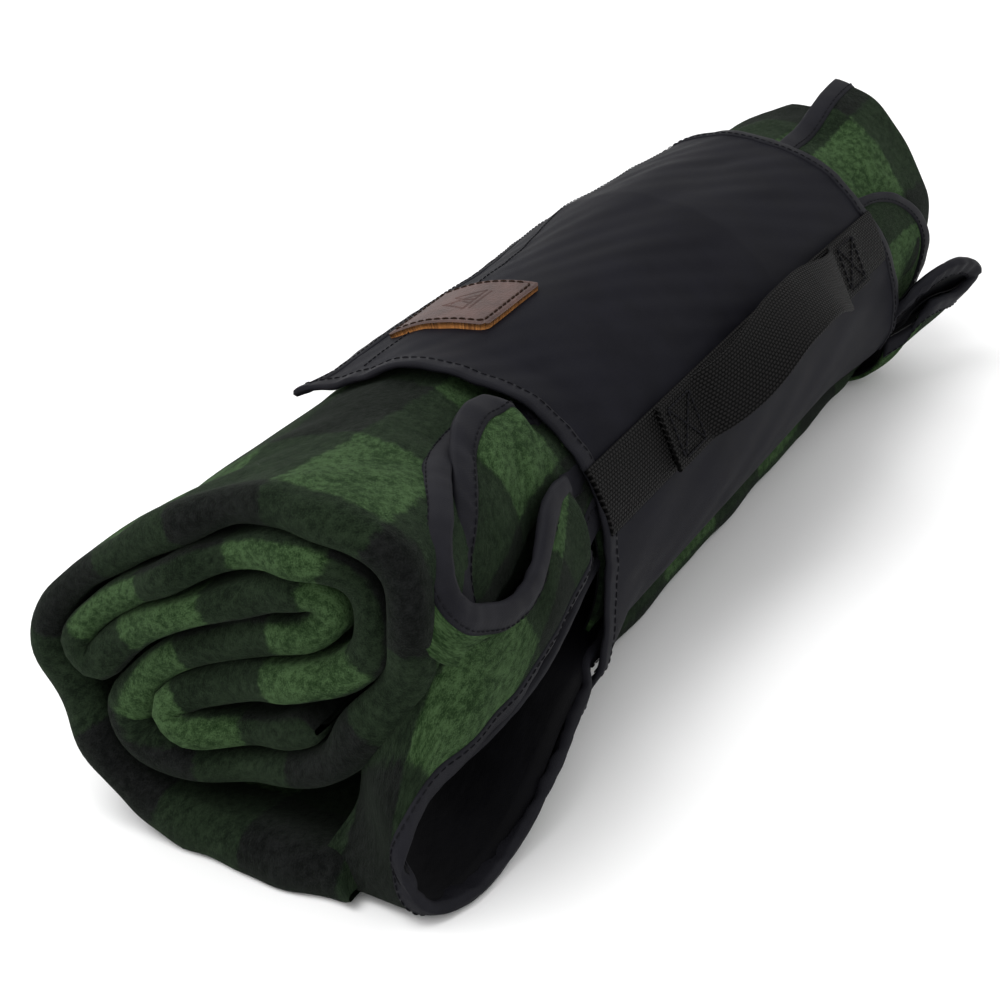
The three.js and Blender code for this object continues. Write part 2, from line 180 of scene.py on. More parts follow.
def grid_faces(rows, cols, first=0, ring=False):
    """Quads of a grid of points. With ring, the last column joins the first."""
    across = cols if ring else cols - 1
    i, j = np.meshgrid(np.arange(rows - 1), np.arange(across), indexing="ij")
    k = (j + 1) % cols
    quads = np.stack([i * cols + j, (i + 1) * cols + j, (i + 1) * cols + k, i * cols + k], -1)
    return quads.reshape(-1, 4) + first


def make(name, points, faces, uv, materials, face_material=None):
    """A smooth mesh object from points in millimetres and one UV per point, in metres."""
    mesh = bpy.data.meshes.new(name)
    points = np.array(points, float)
    points[:, 2] = np.maximum(points[:, 2], ON_FLOOR)
    mesh.from_pydata((points * METRES).tolist(), [], [tuple(map(int, face)) for face in faces])
    layer = mesh.uv_layers.new(name="UVMap")
    corner = np.zeros(len(mesh.loops), np.int32)
    mesh.loops.foreach_get("vertex_index", corner)
    layer.data.foreach_set("uv", np.asarray(uv, np.float32)[corner].ravel())
    for material in materials:
        mesh.materials.append(material)
    if face_material is not None:
        mesh.polygons.foreach_set("material_index", np.asarray(face_material, np.int32))
    mesh.polygons.foreach_set("use_smooth", np.ones(len(mesh.polygons), bool))
    mesh.update()
    piece = bpy.data.objects.new(name, mesh)
    bpy.context.scene.collection.objects.link(piece)
    return piece


def uv_mesh(u, v):
    """UVs in metres of a grid whose rows and columns lie at those lengths."""
    return np.stack(np.meshgrid(u, v, indexing="ij"), -1) * METRES


def grid_uv(grid, start=(0.0, 0.0), turn=False):
    """UVs by the lengths along the grid's middle column and row, less the start's."""
    u = lengths_along(grid[:, grid.shape[1] // 2]) - start[0]
    v = lengths_along(grid[grid.shape[0] // 2]) - start[1]
    return uv_mesh(u, v)[..., ::-1] if turn else uv_mesh(u, v)


def between(name, outer, inner, uv, materials, wall_material=0, way=1):
    """A closed thin body between two grids of one size. The outer grid's normals point out, or else way
    is -1, which turns the faces of both grids round and leaves the walls as they are."""
    rows, cols = outer.shape[:2]
    count = rows * cols
    outer_faces = grid_faces(rows, cols)[:, ::way]
    index = np.arange(count).reshape(rows, cols)
    rim = np.concatenate([index[0, :-1], index[:-1, -1], index[-1, :0:-1], index[:0:-1, 0]])
    after = np.roll(rim, -1)
    walls = np.stack([rim, after, after + count, rim + count], 1)
    faces = np.concatenate([outer_faces, outer_faces[:, ::-1] + count, walls])
    points = np.concatenate([outer.reshape(-1, 3), inner.reshape(-1, 3)])
    face_material = [0] * 2 * len(outer_faces) + [wall_material] * len(walls)
    return make(name, points, faces, np.concatenate([uv.reshape(-1, 2)] * 2), materials, face_material)


def shell(name, grid, thickness, material, uv=None):
    """A closed thin sheet whose outer face is the grid. Its inner face lies `thickness` behind it."""
    inner = grid - normals_of(grid) * thickness
    return between(name, grid, inner, grid_uv(grid) if uv is None else uv, [material])


def tube(name, rings, material, uv=None):
    """A closed tube through rings of points, capped at both ends."""
    rows, cols = rings.shape[:2]
    ends = [range(cols), range(rows * cols - 1, (rows - 1) * cols - 1, -1)]
    faces = [*grid_faces(rows, cols, ring=True), *ends]
    if uv is None:
        uv = uv_mesh(lengths_along(rings[:, 0]), lengths_along(rings[rows // 2]))
    return make(name, rings.reshape(-1, 3), faces, uv.reshape(-1, 2), [material])


def join_into(name, pieces):
    """Several mesh objects as one, which keeps each one's materials."""
    bpy.ops.object.select_all(action="DESELECT")
    for piece in pieces:
        piece.select_set(True)
    bpy.context.view_layer.objects.active = pieces[0]
    bpy.ops.object.join()
    pieces[0].name = name
    return pieces[0]


def place(piece, body, slot, *nodes):
    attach(piece, body)
    if nodes:
        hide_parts(*nodes)
    return piece


def sheet(piece, body, slot, flat, rests_on, *nodes):
    """Places a folded sheet; flat is its width and length before it was folded, in metres, and is not used.
    """
    place(piece, body, slot, *nodes)


# ---- sewing ----

STITCH = 2.3                      # length of one visible stitch
STITCH_PITCH = 3.1
THREAD_RADIUS = 0.25


def stitches(name, line, normals, material, pitch=STITCH_PITCH, length=STITCH, radius=THREAD_RADIUS):
    """A row of short stitches lying on a surface along a line."""
    along = lengths_along(line)
    steps = np.array([0, 0.12, 0.5, 0.88, 1.0])
    width = radius * np.array([0.35, 0.85, 1.0, 0.85, 0.35])
    sides = 6
    turn = np.arange(sides) * 2 * math.pi / sides
    corners = sides * len(steps)
    points, faces, uvs = [], [], []
    for first, start in enumerate(np.arange(pitch / 2, along[-1] - length, pitch)):
        first *= corners
        s = start + steps * length
        normal = unit(taken_at(s, along, normals))
        ends = taken_at(s[[0, -1]], along, line)
        side = np.cross(unit(ends[1] - ends[0]), normal)
        centre = taken_at(s, along, line) + normal * (1.1 * width - 0.45 * radius)[:, None]
        across = side[:, None] * np.cos(turn)[None, :, None] + normal[:, None] * np.sin(turn)[None, :, None]
        points.append((centre[:, None] + across * width[:, None, None]).reshape(-1, 3))
        faces += [*grid_faces(len(steps), sides, first, ring=True), range(first, first + sides)]
        faces.append(range(first + corners - 1, first + corners - sides - 1, -1))
        uvs.append(np.tile([start, 0.0], (corners, 1)))
    return make(name, np.concatenate(points), faces, np.concatenate(uvs) * METRES, [material])


def edge_rows(grid, outward, distances):
    """Points and normals at some distances in from the grid's first column, row by row."""
    points, ups = [], []
    for row, normal in zip(grid, normals_of(grid) * outward):
        along = lengths_along(row)
        inside = np.clip(distances, 0, along[-1])
        past_edge = np.minimum(distances, 0)[:, None] * unit(row[2] - row[0])
        points.append(taken_at(inside, along, row) + past_edge)
        ups.append(taken_at(inside, along, normal))
    return np.array(points), unit(np.array(ups))


def taped_edge(name, grid, cloth, width=9.0, outward=1, tape=1.0, both=True):
    """Folded tape sewn over the first column of a sheet's grid. `cloth` is the sheet's thickness, which
    lies behind the grid, and the stitches run along the tape's inner edge."""
    inward = np.array([1.0, 0.82, 0.45, 0.12, 0.0]) * width
    lift = np.array([0.35, 0.9, 1.0, 0.95, 0.75]) * tape
    distances = np.concatenate([inward, [-0.9], inward[::-1]])
    offset = np.concatenate([lift, [-cloth / 2], -cloth - lift[::-1]])
    points, ups = edge_rows(grid, outward, distances)
    bumps = 1 + 0.12 * waves(points[:, :1], 7.0, 11)[..., None]
    pieces = [tube(name, points + ups * offset[None, :, None] * bumps, BINDING)]
    line, up = edge_rows(grid, outward, np.array([width - 1.7]))
    line, up = line[:, 0], up[:, 0]
    height = 0.92 * tape
    pieces.append(stitches("upper_row", line + up * height, up, THREAD))
    if both:
        pieces.append(stitches("lower_row", line - up * (cloth + height), -up, THREAD))
    return join_into(name, pieces)


# ---- materials ----

class Nodes:
    """Short names for building a material's node tree."""

    def __init__(self, name, roughness=0.6, specular=0.5):
        self.material = bpy.data.materials.new(name)
        self.material.use_nodes = True
        self.tree = self.material.node_tree
        self.shader = self.tree.nodes["Principled BSDF"]
        self.set(self.shader, {"Roughness": roughness, "Specular IOR Level": specular})
        self.uv = self.add("UVMap").outputs["UV"]

    def set(self, node, values):
        """Gives a node's inputs their values or links, by name or number."""
        for key, value in values.items():
            if isinstance(value, bpy.types.NodeSocket):
                self.tree.links.new(value, node.inputs[key])
            elif value is not None:
                node.inputs[key].default_value = value

    def add(self, kind, values=(), **settings):
        node = self.tree.nodes.new("ShaderNode" + kind)
        for key, value in settings.items():
            setattr(node, key, value)
        self.set(node, dict(values))
        return node

    def math(self, operation, a, b=0.0, c=0.0):
        return self.add("Math", {0: a, 1: b, 2: c}, operation=operation).outputs[0]

    def scaled(self, vector, scale, turn=0.0):
        return self.add("Mapping", {"Vector": vector, "Scale": scale, "Rotation": (0, 0, turn)}).outputs[0]

    def noise(self, vector, scale, detail=3.0, roughness=0.6):
        values = {"Vector": vector, "Scale": scale, "Detail": detail, "Roughness": roughness}
        return self.add("TexNoise", values).outputs["Fac"]

    def ramp(self, value, low, high):
        values = {"Value": value, "From Min": low, "From Max": high}
        return self.add("MapRange", values, interpolation_type="SMOOTHSTEP").outputs[0]

    def mix(self, share, a, b):
        """Colours a and b are the mix node's inputs 6 and 7, and its output 2 is their mix."""
        return self.add("Mix", {0: share, 6: a, 7: b}, data_type="RGBA").outputs[2]

    def split(self, vector):
        return self.add("SeparateXYZ", {0: vector}).outputs

    def bump(self, height, distance, strength=1.0, below=None):
        values = {"Height": height, "Distance": distance, "Strength": strength, "Normal": below}
        return self.add("Bump", values).outputs[0]

    def sheen(self, weight, roughness, tint):
        values = {"Sheen Weight": weight, "Sheen Roughness": roughness, "Sheen Tint": (*tint, 1)}
        self.set(self.shader, values)

    def finish(self, colour, normal=None, roughness=None):
        self.set(self.shader, {"Base Color": colour, "Normal": normal, "Roughness": roughness})
        return self.material


def fleece_material():
    """Brushed fleece in a buffalo check: bands of green and black both ways, mixed where they cross."""
    n = Nodes("brushed_check_fleece", roughness=0.95, specular=0.04)
    wander = n.noise(n.uv, 240.0, 4.0)
    u, v, _ = n.split(n.uv)

    def band(coordinate, width):
        """1 where the coordinate is in a green band, each of which starts at an even multiple of width."""
        frayed = n.math("MULTIPLY_ADD", n.math("SUBTRACT", wander, 0.5), 0.006, coordinate)
        turns = n.math("MULTIPLY_ADD", frayed, 1 / (2 * width * METRES), 0.25)
        wave = n.math("ABSOLUTE", n.math("SUBTRACT", n.math("FRACT", turns), 0.5))
        return n.math("SUBTRACT", 1.0, n.ramp(wave, 0.235, 0.265))

    along, across = band(u, CHECK_ALONG), band(v, CHECK_ACROSS)
    pile = n.noise(n.scaled(n.uv, (1.0, 0.65, 1.0), 0.5), 2300.0, 4.0, 0.7)
    clumps = n.noise(n.scaled(n.uv, (1.0, 0.75, 1.0), -0.4), 420.0, 4.0, 0.65)
    tone = n.math("ADD", n.math("MULTIPLY", pile, 0.6), n.math("MULTIPLY", clumps, 0.6))
    worn = n.math("MULTIPLY_ADD", n.noise(n.uv, 55.0, 4.0), 0.35, tone)
    shade = n.ramp(worn, 0.62, 0.96)
    light_green = n.mix(shade, (0.007, 0.018, 0.005, 1), (0.048, 0.088, 0.035, 1))
    half_green = n.mix(shade, (0.003, 0.006, 0.003, 1), (0.015, 0.025, 0.013, 1))
    black = n.mix(shade, (0.002, 0.0023, 0.0023, 1), (0.010, 0.0106, 0.0106, 1))
    one = n.mix(along, black, half_green)
    both = n.mix(along, half_green, light_green)
    colour = n.mix(across, one, both)
    n.sheen(0.045, 0.45, (0.55, 0.75, 0.52))
    below = n.bump(clumps, 0.0011, 0.7)
    return n.finish(colour, n.bump(pile, 0.0006, 0.8, below))


def weave_material(name, colour, light, pitch, depth, roughness, specular=0.4, sheen=0.0, creases=0.0):
    """A plain-woven cloth: threads over and under each other, `pitch` millimetres apart."""
    n = Nodes(name, roughness, specular)
    turns = math.pi / (pitch * METRES)
    u, v, _ = n.split(n.uv)
    over = n.math("SINE", n.math("MULTIPLY", u, turns))
    under = n.math("SINE", n.math("MULTIPLY", v, turns))
    cell = n.math("MULTIPLY_ADD", n.math("MULTIPLY", over, under), 0.5, 0.5)
    cloud = n.noise(n.uv, 45.0, 5.0)
    fuzz = n.noise(n.uv, 2600.0, 2.0)
    share = n.math("ADD", n.math("MULTIPLY", n.ramp(cloud, 0.3, 0.7), 0.55), n.math("MULTIPLY", fuzz, 0.4))
    base = n.mix(share, colour, light)
    normal = n.bump(cell, depth * METRES, 0.6)
    if creases:
        folds = n.noise(n.scaled(n.uv, (1.0, 2.2, 1.0), 0.6), 28.0, 4.0)
        normal = n.bump(folds, creases * METRES, 0.5, normal)
    rough = n.math("MULTIPLY_ADD", cloud, 0.2, roughness - 0.1)
    n.sheen(sheen, 0.4, (0.6, 0.62, 0.7))
    return n.finish(base, normal, rough)


def webbing_material():
    """Heavy webbing: fat warp threads in rows, each row stepped half a thread from the next. Its colour has
    painted shade, darker towards each thread's edges in the gaps between threads.
    """
    n = Nodes("coarse_webbing", 0.6, 0.03)
    u, v, _ = n.split(n.uv)
    row = n.math("MULTIPLY", v, 1 / (1.25 * METRES))
    step = n.math("MULTIPLY", n.math("FLOOR", row), 0.5)
    column = n.math("ADD", n.math("MULTIPLY", u, 1 / (2.1 * METRES)), step)
    across = n.math("SINE", n.math("MULTIPLY", n.math("FRACT", row), math.pi))
    along = n.math("SINE", n.math("MULTIPLY", n.math("FRACT", column), math.pi))
    thread = n.math("POWER", n.math("MULTIPLY", across, along), 0.55)
    fibre = n.noise(n.scaled(n.uv, (1.0, 0.2, 1.0)), 4200.0, 2.0)
    # painted shade: thread falls to 0 at the threads' edges, so the colour darkens in the gaps between them;
    # fibre adds random tone
    shade = n.math("ADD", n.math("MULTIPLY", thread, 0.75), n.math("MULTIPLY", fibre, 0.3))
    colour = n.mix(n.ramp(shade, 0.25, 1.0), (0.001, 0.001, 0.001, 1), (0.014, 0.0135, 0.0135, 1))
    return n.finish(colour, n.bump(thread, 0.0008, 1.0), n.math("MULTIPLY_ADD", fibre, 0.25, 0.42))


def leather_material():
    """Waxed brown leather: fine pebbled grain, worn lighter in soft clouds."""
    n = Nodes("waxed_brown_leather", 0.5, 0.25)
    grain = n.add("TexVoronoi", {"Vector": n.uv, "Scale": 1100.0}, feature="SMOOTH_F1")
    pores = n.noise(n.uv, 2200.0, 3.0)
    cloud = n.noise(n.uv, 70.0, 5.0)
    dark, brown, rub = (0.036, 0.018, 0.015, 1), (0.072, 0.036, 0.030, 1), (0.115, 0.060, 0.046, 1)
    base = n.mix(n.ramp(cloud, 0.3, 0.7), dark, brown)
    worn = n.math("MULTIPLY", n.ramp(pores, 0.55, 0.8), n.ramp(cloud, 0.45, 0.8))
    colour = n.mix(worn, base, rub)
    height = n.math("ADD", grain.outputs["Distance"], n.math("MULTIPLY", pores, 0.4))
    rough = n.math("MULTIPLY_ADD", pores, 0.3, 0.4)
    return n.finish(colour, n.bump(height, 0.0003, 0.7), rough)


def raw_edge_material():
    """The cut side of the leather: tan fibres."""
    n = Nodes("raw_leather_edge", 0.95, 0.2)
    fibre = n.noise(n.uv, 1800.0, 4.0)
    colour = n.mix(n.ramp(fibre, 0.3, 0.7), (0.10, 0.036, 0.010, 1), (0.36, 0.15, 0.04, 1))
    return n.finish(colour, n.bump(fibre, 0.0008, 0.9))


def thread_material(name, colour, light):
    n = Nodes(name, 0.7, 0.03)
    twist = n.noise(n.uv, 3000.0, 2.0)
    return n.finish(n.mix(twist, colour, light), n.bump(twist, 0.0002, 0.6))


FLEECE = fleece_material()
BACKING = weave_material(
    "coated_backing", (0.001, 0.001, 0.0015, 1), (0.003, 0.003, 0.004, 1), 0.5, 0.05, 0.5, 0.05, creases=1.2
)
BINDING = weave_material(
    "binding_tape", (0.007, 0.007, 0.009, 1), (0.0145, 0.0145, 0.018, 1), 0.45, 0.10, 0.55, 0.04
)
COVER = weave_material(
    "cover_cloth", (0.004, 0.004, 0.006, 1), (0.0085, 0.0085, 0.012, 1), 0.4, 0.06, 0.55, 0.025, creases=0.35
)
LINING = weave_material(
    "plain_lining", (0.010, 0.010, 0.014, 1), (0.018, 0.018, 0.024, 1), 0.6, 0.08, 0.8
)
WADDING = weave_material("wadding", (0.5, 0.5, 0.48, 1), (0.7, 0.7, 0.67, 1), 2.0, 0.4, 0.95)
HOOKS = weave_material("hook_tape", (0.004, 0.004, 0.004, 1), (0.016, 0.016, 0.017, 1), 1.1, 0.9, 0.7)
STRAP = webbing_material()
THREAD = thread_material("black_thread", (0.004, 0.004, 0.005, 1), (0.012, 0.012, 0.014, 1))
LEATHER = leather_material()
RAW_EDGE = raw_edge_material()
LEATHER_THREAD = thread_material("brown_thread", (0.012, 0.007, 0.005, 1), (0.035, 0.020, 0.014, 1))


# ---- the rolled strip ----

# Middle line of the folded strip at the near face, as (y, z) about the drawing's own axis: a few folds
# back and forth, then one full turn round them, down the +Y side and under the roll.
DRAWN_AXIS = np.array([2.0, 61.0])
TURNS = [
    (-20, 57), (-9, 51), (5, 46), (20, 43), (31, 43), (36, 48), (31, 54), (19, 60), (5, 65), (-14, 72),
    (-27, 78), (-35, 87), (-36, 97), (-32, 108), (-22, 115), (-9, 115), (5, 111), (18, 105), (32, 96),
    (47, 88), (60, 80), (69, 70), (71, 62), (64, 58), (54, 67), (40, 79), (24, 88), (6, 96), (-8, 101),
    (-18, 102), (-23, 96), (-17, 88), (-4, 83), (13, 78), (26, 72), (38, 64), (48, 53), (54, 43),
    (50, 33), (39, 29), (17, 31), (-1, 36), (-15, 41), (-30, 51), (-41, 65), (-48, 79), (-50, 93),
    (-50, 105), (-46, 116), (-36, 125), (-20, 129), (-3, 127), (14, 121), (34, 111), (53, 97), (69, 83),
    (79, 71), (82, 59), (77, 44), (68, 30), (57, 19), (44, 9.5), (33, 5.5), (24, 3.6), (-12, 3.4),
    (-34, 4.2),
]
# Radius of the outermost turn at the near face, by angle. Under the cover it is HELD_RADIUS.
SPLAY_ANGLES = [0, 31, 45, 60, 73, 85, 102, 122, 146, 164, 178, 193, 206, 222, 240, 300, 307, 337, 360]
SPLAY_RADII = [70, 73, 84, 89, 77, 66, 60, 58.6, 61, 70, 79, 75, 72, 66, 58.6, 58.6, 68, 76, 70]
HELD_RADIUS = 58.6
FULLY_GATHERED = 45.0             # radius beyond which the turns are gathered in fully
HALF_STRIP = 3.2                  # half the strip's thickness where it is held tight
FOOT_REACH = 7.0                  # how far the lowest folds stand out at the near end
STRIP_SAMPLES = 340


STRIP_LINE = curve_through(np.array(TURNS, float) - DRAWN_AXIS, STRIP_SAMPLES)
NOSE = 9.0                        # length over which the strip's two ends are rounded
HALF_INNER_PLY = 0.4


def sides_of(line):
    tangent = unit(np.gradient(line, axis=0))
    return np.stack([-tangent[:, 1], tangent[:, 0]], 1)


def polar(section):
    """Angles and radii of points (y, z) about the axis."""
    y, z = section.T
    return np.degrees(np.arctan2(z, -y)), np.hypot(y, z)


def gathering():
    """How much of its radius each point of the strip's line loses where the cover holds it."""
    angle, radius = polar(STRIP_LINE)
    depth = np.minimum(radius / FULLY_GATHERED, 1)
    return depth * (1 - HELD_RADIUS / np.interp(angle % 360, SPLAY_ANGLES, SPLAY_RADII))


GATHER = gathering()


def room_beside(line, sign, most):
    """Half the gap to the next fold, on one side of each point of the strip's line."""
    a = line[:-1]
    e = line[1:] - a
    room = np.full(len(line), 2 * most)
    own = 5                       # a point's own stretch of the line isn't the next fold
    for i, (p, n) in enumerate(zip(line, sides_of(line) * sign)):
        cross = n[0] * e[:, 1] - n[1] * e[:, 0]
        cross = np.where(np.abs(cross) < 1e-9, 1e-9, cross)
        q = a - p
        t = (q[:, 0] * e[:, 1] - q[:, 1] * e[:, 0]) / cross
        w = (q[:, 0] * n[1] - q[:, 1] * n[0]) / cross
        hit = (t > 0.5) & (w >= 0) & (w <= 1) & (np.abs(np.arange(len(a)) - i) > own)
        room[i] = min([room[i], *t[hit]])
    return room / 2


def fold_thickness(sign, most):
    """How far the cloth of each fold fills the room on one side of the strip's line."""
    gap = 0.5
    thick = np.clip(room_beside(STRIP_LINE, sign, most) - gap, HALF_STRIP, most)
    return smoothed(np.minimum(smoothed(thick, 10), thick + 0.4), 3)


def held(x):
    """0 at the near face, where the strip is splayed, and 1 where the cover holds it round."""
    return smooth(x, -232.0, -104.0)


def strip_surface(inset, buried, fine):
    """The folded cloth as a grid: its first axis follows the rolled strip, and its second goes from
    one bound edge to the other through four plies: out, round the near end, back, round the far end,
    out again inside them and back. `inset` moves the surface into the fold, for the inner layers, and
    `buried` keeps them back from the near end."""
    along = lengths_along(STRIP_LINE)
    ends = np.clip(np.minimum(along, along[-1] - along) / NOSE, 0, 1)
    ends = np.sqrt(np.clip(1 - (1 - ends) ** 2, 0.02, 1))
    sides = fold_thickness(1, 7.5), fold_thickness(-1, 12.0)
    foot = smooth(-STRIP_LINE[:, 1], 30.0, 58.0)
    lumps = waves(np.column_stack([STRIP_LINE, 0 * along]), 38.0, 5)
    near_x = NEAR_END - FOOT_REACH * foot + 2.2 * lumps + 1.5
    far_x = np.full(len(along), FAR_END - 4.5)
    fore, aft = (74, 26) if fine else (16, 12)
    near_cap = np.radians(np.linspace(90, -90, 13 if fine else 7))[1:-1]
    far_cap = np.radians(np.linspace(80, -80, 5))
    rows = []

    def ring(x, out):
        """One line of the grid, at each point's own x, that far out from the strip's middle."""
        section = STRIP_LINE * (1 - held(x) * GATHER)[:, None]
        rows.append(around(x, *polar(section + sides_of(section) * out[:, None])))

    def offsets(x, outer):
        """Offsets to both sides at x: the outer plies fill the fold, and the inner ones lie inside."""
        if not outer:
            return [(HALF_INNER_PLY + 0.4 * inset) * ends] * 2
        fade = 1 - smooth(x, NEAR_END + 4, NEAR_END + 48)
        return [(HALF_STRIP + (side - HALF_STRIP) * fade - inset) * ends for side in sides]

    def there_and_back(outer, tip_inset):
        plus, minus = offsets(near_x + 4 + tip_inset, outer)
        half, middle = (plus + minus) / 2, (plus - minus) / 2
        centre = near_x + tip_inset + half
        for g in np.linspace(1, 0, fore) ** 1.35:
            x = centre + (far_x - centre) * g
            ring(x, offsets(x, outer)[0])
        for c in near_cap:
            ring(centre - half * math.cos(c), middle + half * math.sin(c))
        for g in np.linspace(0, 1, aft) ** 1.35:
            x = centre + (far_x - centre) * g
            ring(x, -offsets(x, outer)[1])

    there_and_back(True, inset + buried)
    low, high = offsets(far_x, True)[1], offsets(far_x, False)[1]
    half = (low - high) / 2
    for c in far_cap:
        ring(far_x + np.abs(half) * math.cos(c), -(low + high) / 2 - half * math.sin(c))
    inner_start = len(rows)
    there_and_back(False, 7.0 + buried)
    rows[inner_start:] = rows[inner_start:][::-1]
    return np.stack(rows, 1), along


CHECK_START = (32.0, 32.0)        # where the check's first green bands start, along and across
CHECK_SKEW = 42.0                 # how far the inner turns were folded out of line with the check
STRIP_HEM = 8                     # points at each end of the strip where the layers inside are left out


def strip_sheet(name, material, inset, buried=0.0, fine=True, lumps=0.0):
    grid, along = strip_surface(inset, buried, fine)
    if buried:
        grid, along = grid[STRIP_HEM:-STRIP_HEM], along[STRIP_HEM:-STRIP_HEM]
    if lumps:
        grid = rumpled(grid, lumps, 26.0, 21)
    rows, cols = grid.shape[:2]
    uv = uv_mesh(along - CHECK_START[0], lengths_along(grid[rows // 2]) - CHECK_START[1])
    start = np.array([0.44, 0.62]) * along[-1] * METRES
    uv[..., 1] += CHECK_SKEW * METRES * (1 - smooth(uv[..., 0], *start))
    return make(name, grid.reshape(-1, 3), grid_faces(rows, cols), uv.reshape(-1, 2), [material])


def far_edge_tape():
    """The two bound edges at the far end lie together, and their tape follows every turn."""
    line = STRIP_LINE * (1 - GATHER)[:, None]
    reach = np.array([-9, -8, -4, -0.8, 0, -0.8, -4, -8, -9])
    out = np.array([0.9, 1.5, 1.8, 1.5, 0, -1.5, -1.8, -1.5, -0.9]) + 0.9
    rings = [around(x, *polar(line + sides_of(line) * n)) for x, n in zip(FAR_END + reach, out)]
    return tube("far_edge_tape", np.stack(rings, 1)[3:-3], BINDING)


piece = strip_sheet("blanket_fleece", FLEECE, 0.0, lumps=0.6)
sheet(piece, "blanket", "fleece", FLAT_BLANKET, "blanket_backing", "fleece_face")
piece = strip_sheet("blanket_padding", WADDING, 1.4, 20.0)
sheet(piece, "blanket", "padding", FLAT_LAYER, "blanket_backing", "padding")
piece = strip_sheet("blanket_backing", BACKING, 1.9, 24.0, False)
sheet(piece, "blanket", "backing", FLAT_LAYER, "blanket_fleece", "waterproof_backing")
place(far_edge_tape(), "blanket", "binding", "far_edge_binding")


# ---- the cloth's loose end, which wraps the front of the roll ----

def rows_through(points, count):
    """A smooth line through points, evenly spread by their order and not by their distance apart."""
    p = np.asarray(points, float)
    p = np.vstack([2 * p[0] - p[1], p, 2 * p[-1] - p[-2]])
    t = np.linspace(0, len(p) - 3, count)
    i = np.minimum(t.astype(int), len(p) - 4)
    f = (t - i)[:, None]
    a, b, c, d = p[i], p[i + 1], p[i + 2], p[i + 3]
    return 0.5 * (2 * b + (c - a) * f + (2 * a - 5 * b + 4 * c - d) * f**2 + (3 * b - a - 3 * c + d) * f**3)


def ruled(edge, root, cols):
    """A sheet whose rows go straight from one line to another, and each column's share of the way."""
    w = np.linspace(0, 1, cols)[None, :, None]
    return edge[:, None] * (1 - w) + root[:, None] * w, w


def bent(edge, middle, root, cols):
    """A sheet from one line to another whose rows bend towards a third."""
    w = np.linspace(0, 1, cols)[None, :, None]
    return (1 - w) ** 2 * edge[:, None] + 2 * w * (1 - w) * middle[:, None] + w**2 * root[:, None]


def pocket(upper, lower, back, cols):
    """A sheet from an open fold's upper lip in to the back line and out to its lower lip."""
    return bent(upper, 1.6 * back - 0.3 * (upper + lower), lower, cols)


LOOSE_RADIUS = 61.4               # outer face of the loose end, under the cover
LOOSE_FROM = -122.0
LOOSE_LOW = -82.0
FLEECE_THICKNESS = 1.5
BACKING_THICKNESS = 0.6
LAYER_GAP = 0.2
END_CLOTH = FLEECE_THICKNESS + BACKING_THICKNESS + LAYER_GAP


def fleece(name, grid, uv, flat, rests_on, *nodes):
    piece = shell(name, grid, FLEECE_THICKNESS, FLEECE, uv)
    sheet(piece, "blanket", "fleece", flat, rests_on, *nodes)


def backing(name, grid, flat, rests_on, *nodes):
    sheet(shell(name, grid, BACKING_THICKNESS, BACKING), "blanket", "backing", flat, rests_on, *nodes)


def behind(grid):
    """Where the backing's outer face lies, behind the fleece's."""
    return grid - normals_of(grid) * (FLEECE_THICKNESS + LAYER_GAP)


def bound(name, grid, width, *nodes, **kind):
    """Binding tape over the first column of a sheet of the blanket."""
    place(taped_edge(name, grid, END_CLOTH, width=width, **kind), "blanket", "binding", *nodes)


def foot_bulge(angle):
    """How far the slack cloth hangs out at the foot of the roll, below the cover's seam."""
    return 11.5 * smooth(-angle, 41.0, 50.0) * (1 - smooth(-angle, 58.0, 80.0))


def loose_end_grid(inset=0.0):
    """From the bound edge, which rises towards the far end, down to the foot of the roll. Its far side
    is the blanket's first fold, so it rolls in there, and its upper corner stands up from the roll."""
    share = np.linspace(0, 1, 96)[None, :]
    far = FAR_END - 1.5
    x = np.linspace(far, LOOSE_FROM, 170)[:, None]
    top = 62.0 + 21.0 * smooth(x, 90.0, 165.0)
    angle = top + (LOOSE_LOW - top) * share
    shorter = 24.0 * smooth(-angle, -12.0, 50.0)
    x = x - shorter * smooth(x, 150.0, FAR_END)
    roll_in = 5.0
    at_fold = np.clip(1 - (far - shorter - x) / roll_in, 0, 1)
    radius = LOOSE_RADIUS - inset - roll_in * (1 - np.sqrt(1 - at_fold**2 * 0.98))
    corner_rise, middle_rise = 13.0, 5.0
    radius = radius + corner_rise * smooth(x, 188.0, FAR_END) * smooth(angle, 25.0, top)
    radius = radius + middle_rise * smooth(x, 178.0, 235.0) * smooth(angle, -22.0, 12.0)
    radius = radius + foot_bulge(angle) * smooth(x, -112.0, -85.0)
    grid = around(x, angle, radius)
    shown = smooth(x, COVER_FAR - 8, COVER_FAR + 25)
    slack = smooth(-angle, 42.0, 50.0)
    grid = rumpled(rumpled(grid, 0.9 * shown, 30.0, 31), 0.7 * slack, 48.0, 32)
    grid[..., 2] = np.maximum(grid[..., 2], 0.7 + inset)
    return grid


loose = loose_end_grid()
loose_uv = grid_uv(loose, (28.0, 14.0), turn=True)
fleece("loose_end_fleece", loose, loose_uv, (0.37, 0.17), "blanket_fleece", "strip_end_fleece")
under = loose_end_grid(FLEECE_THICKNESS + LAYER_GAP)
backing("loose_end_backing", under, (0.37, 0.17), "blanket_fleece", "strip_end_backing")
bound("loose_end_tape", loose[:, :30], 9.0, "strip_end_binding", both=False)


# ---- the far end: a corner of the loose end folded back, and the outer turn's open end ----

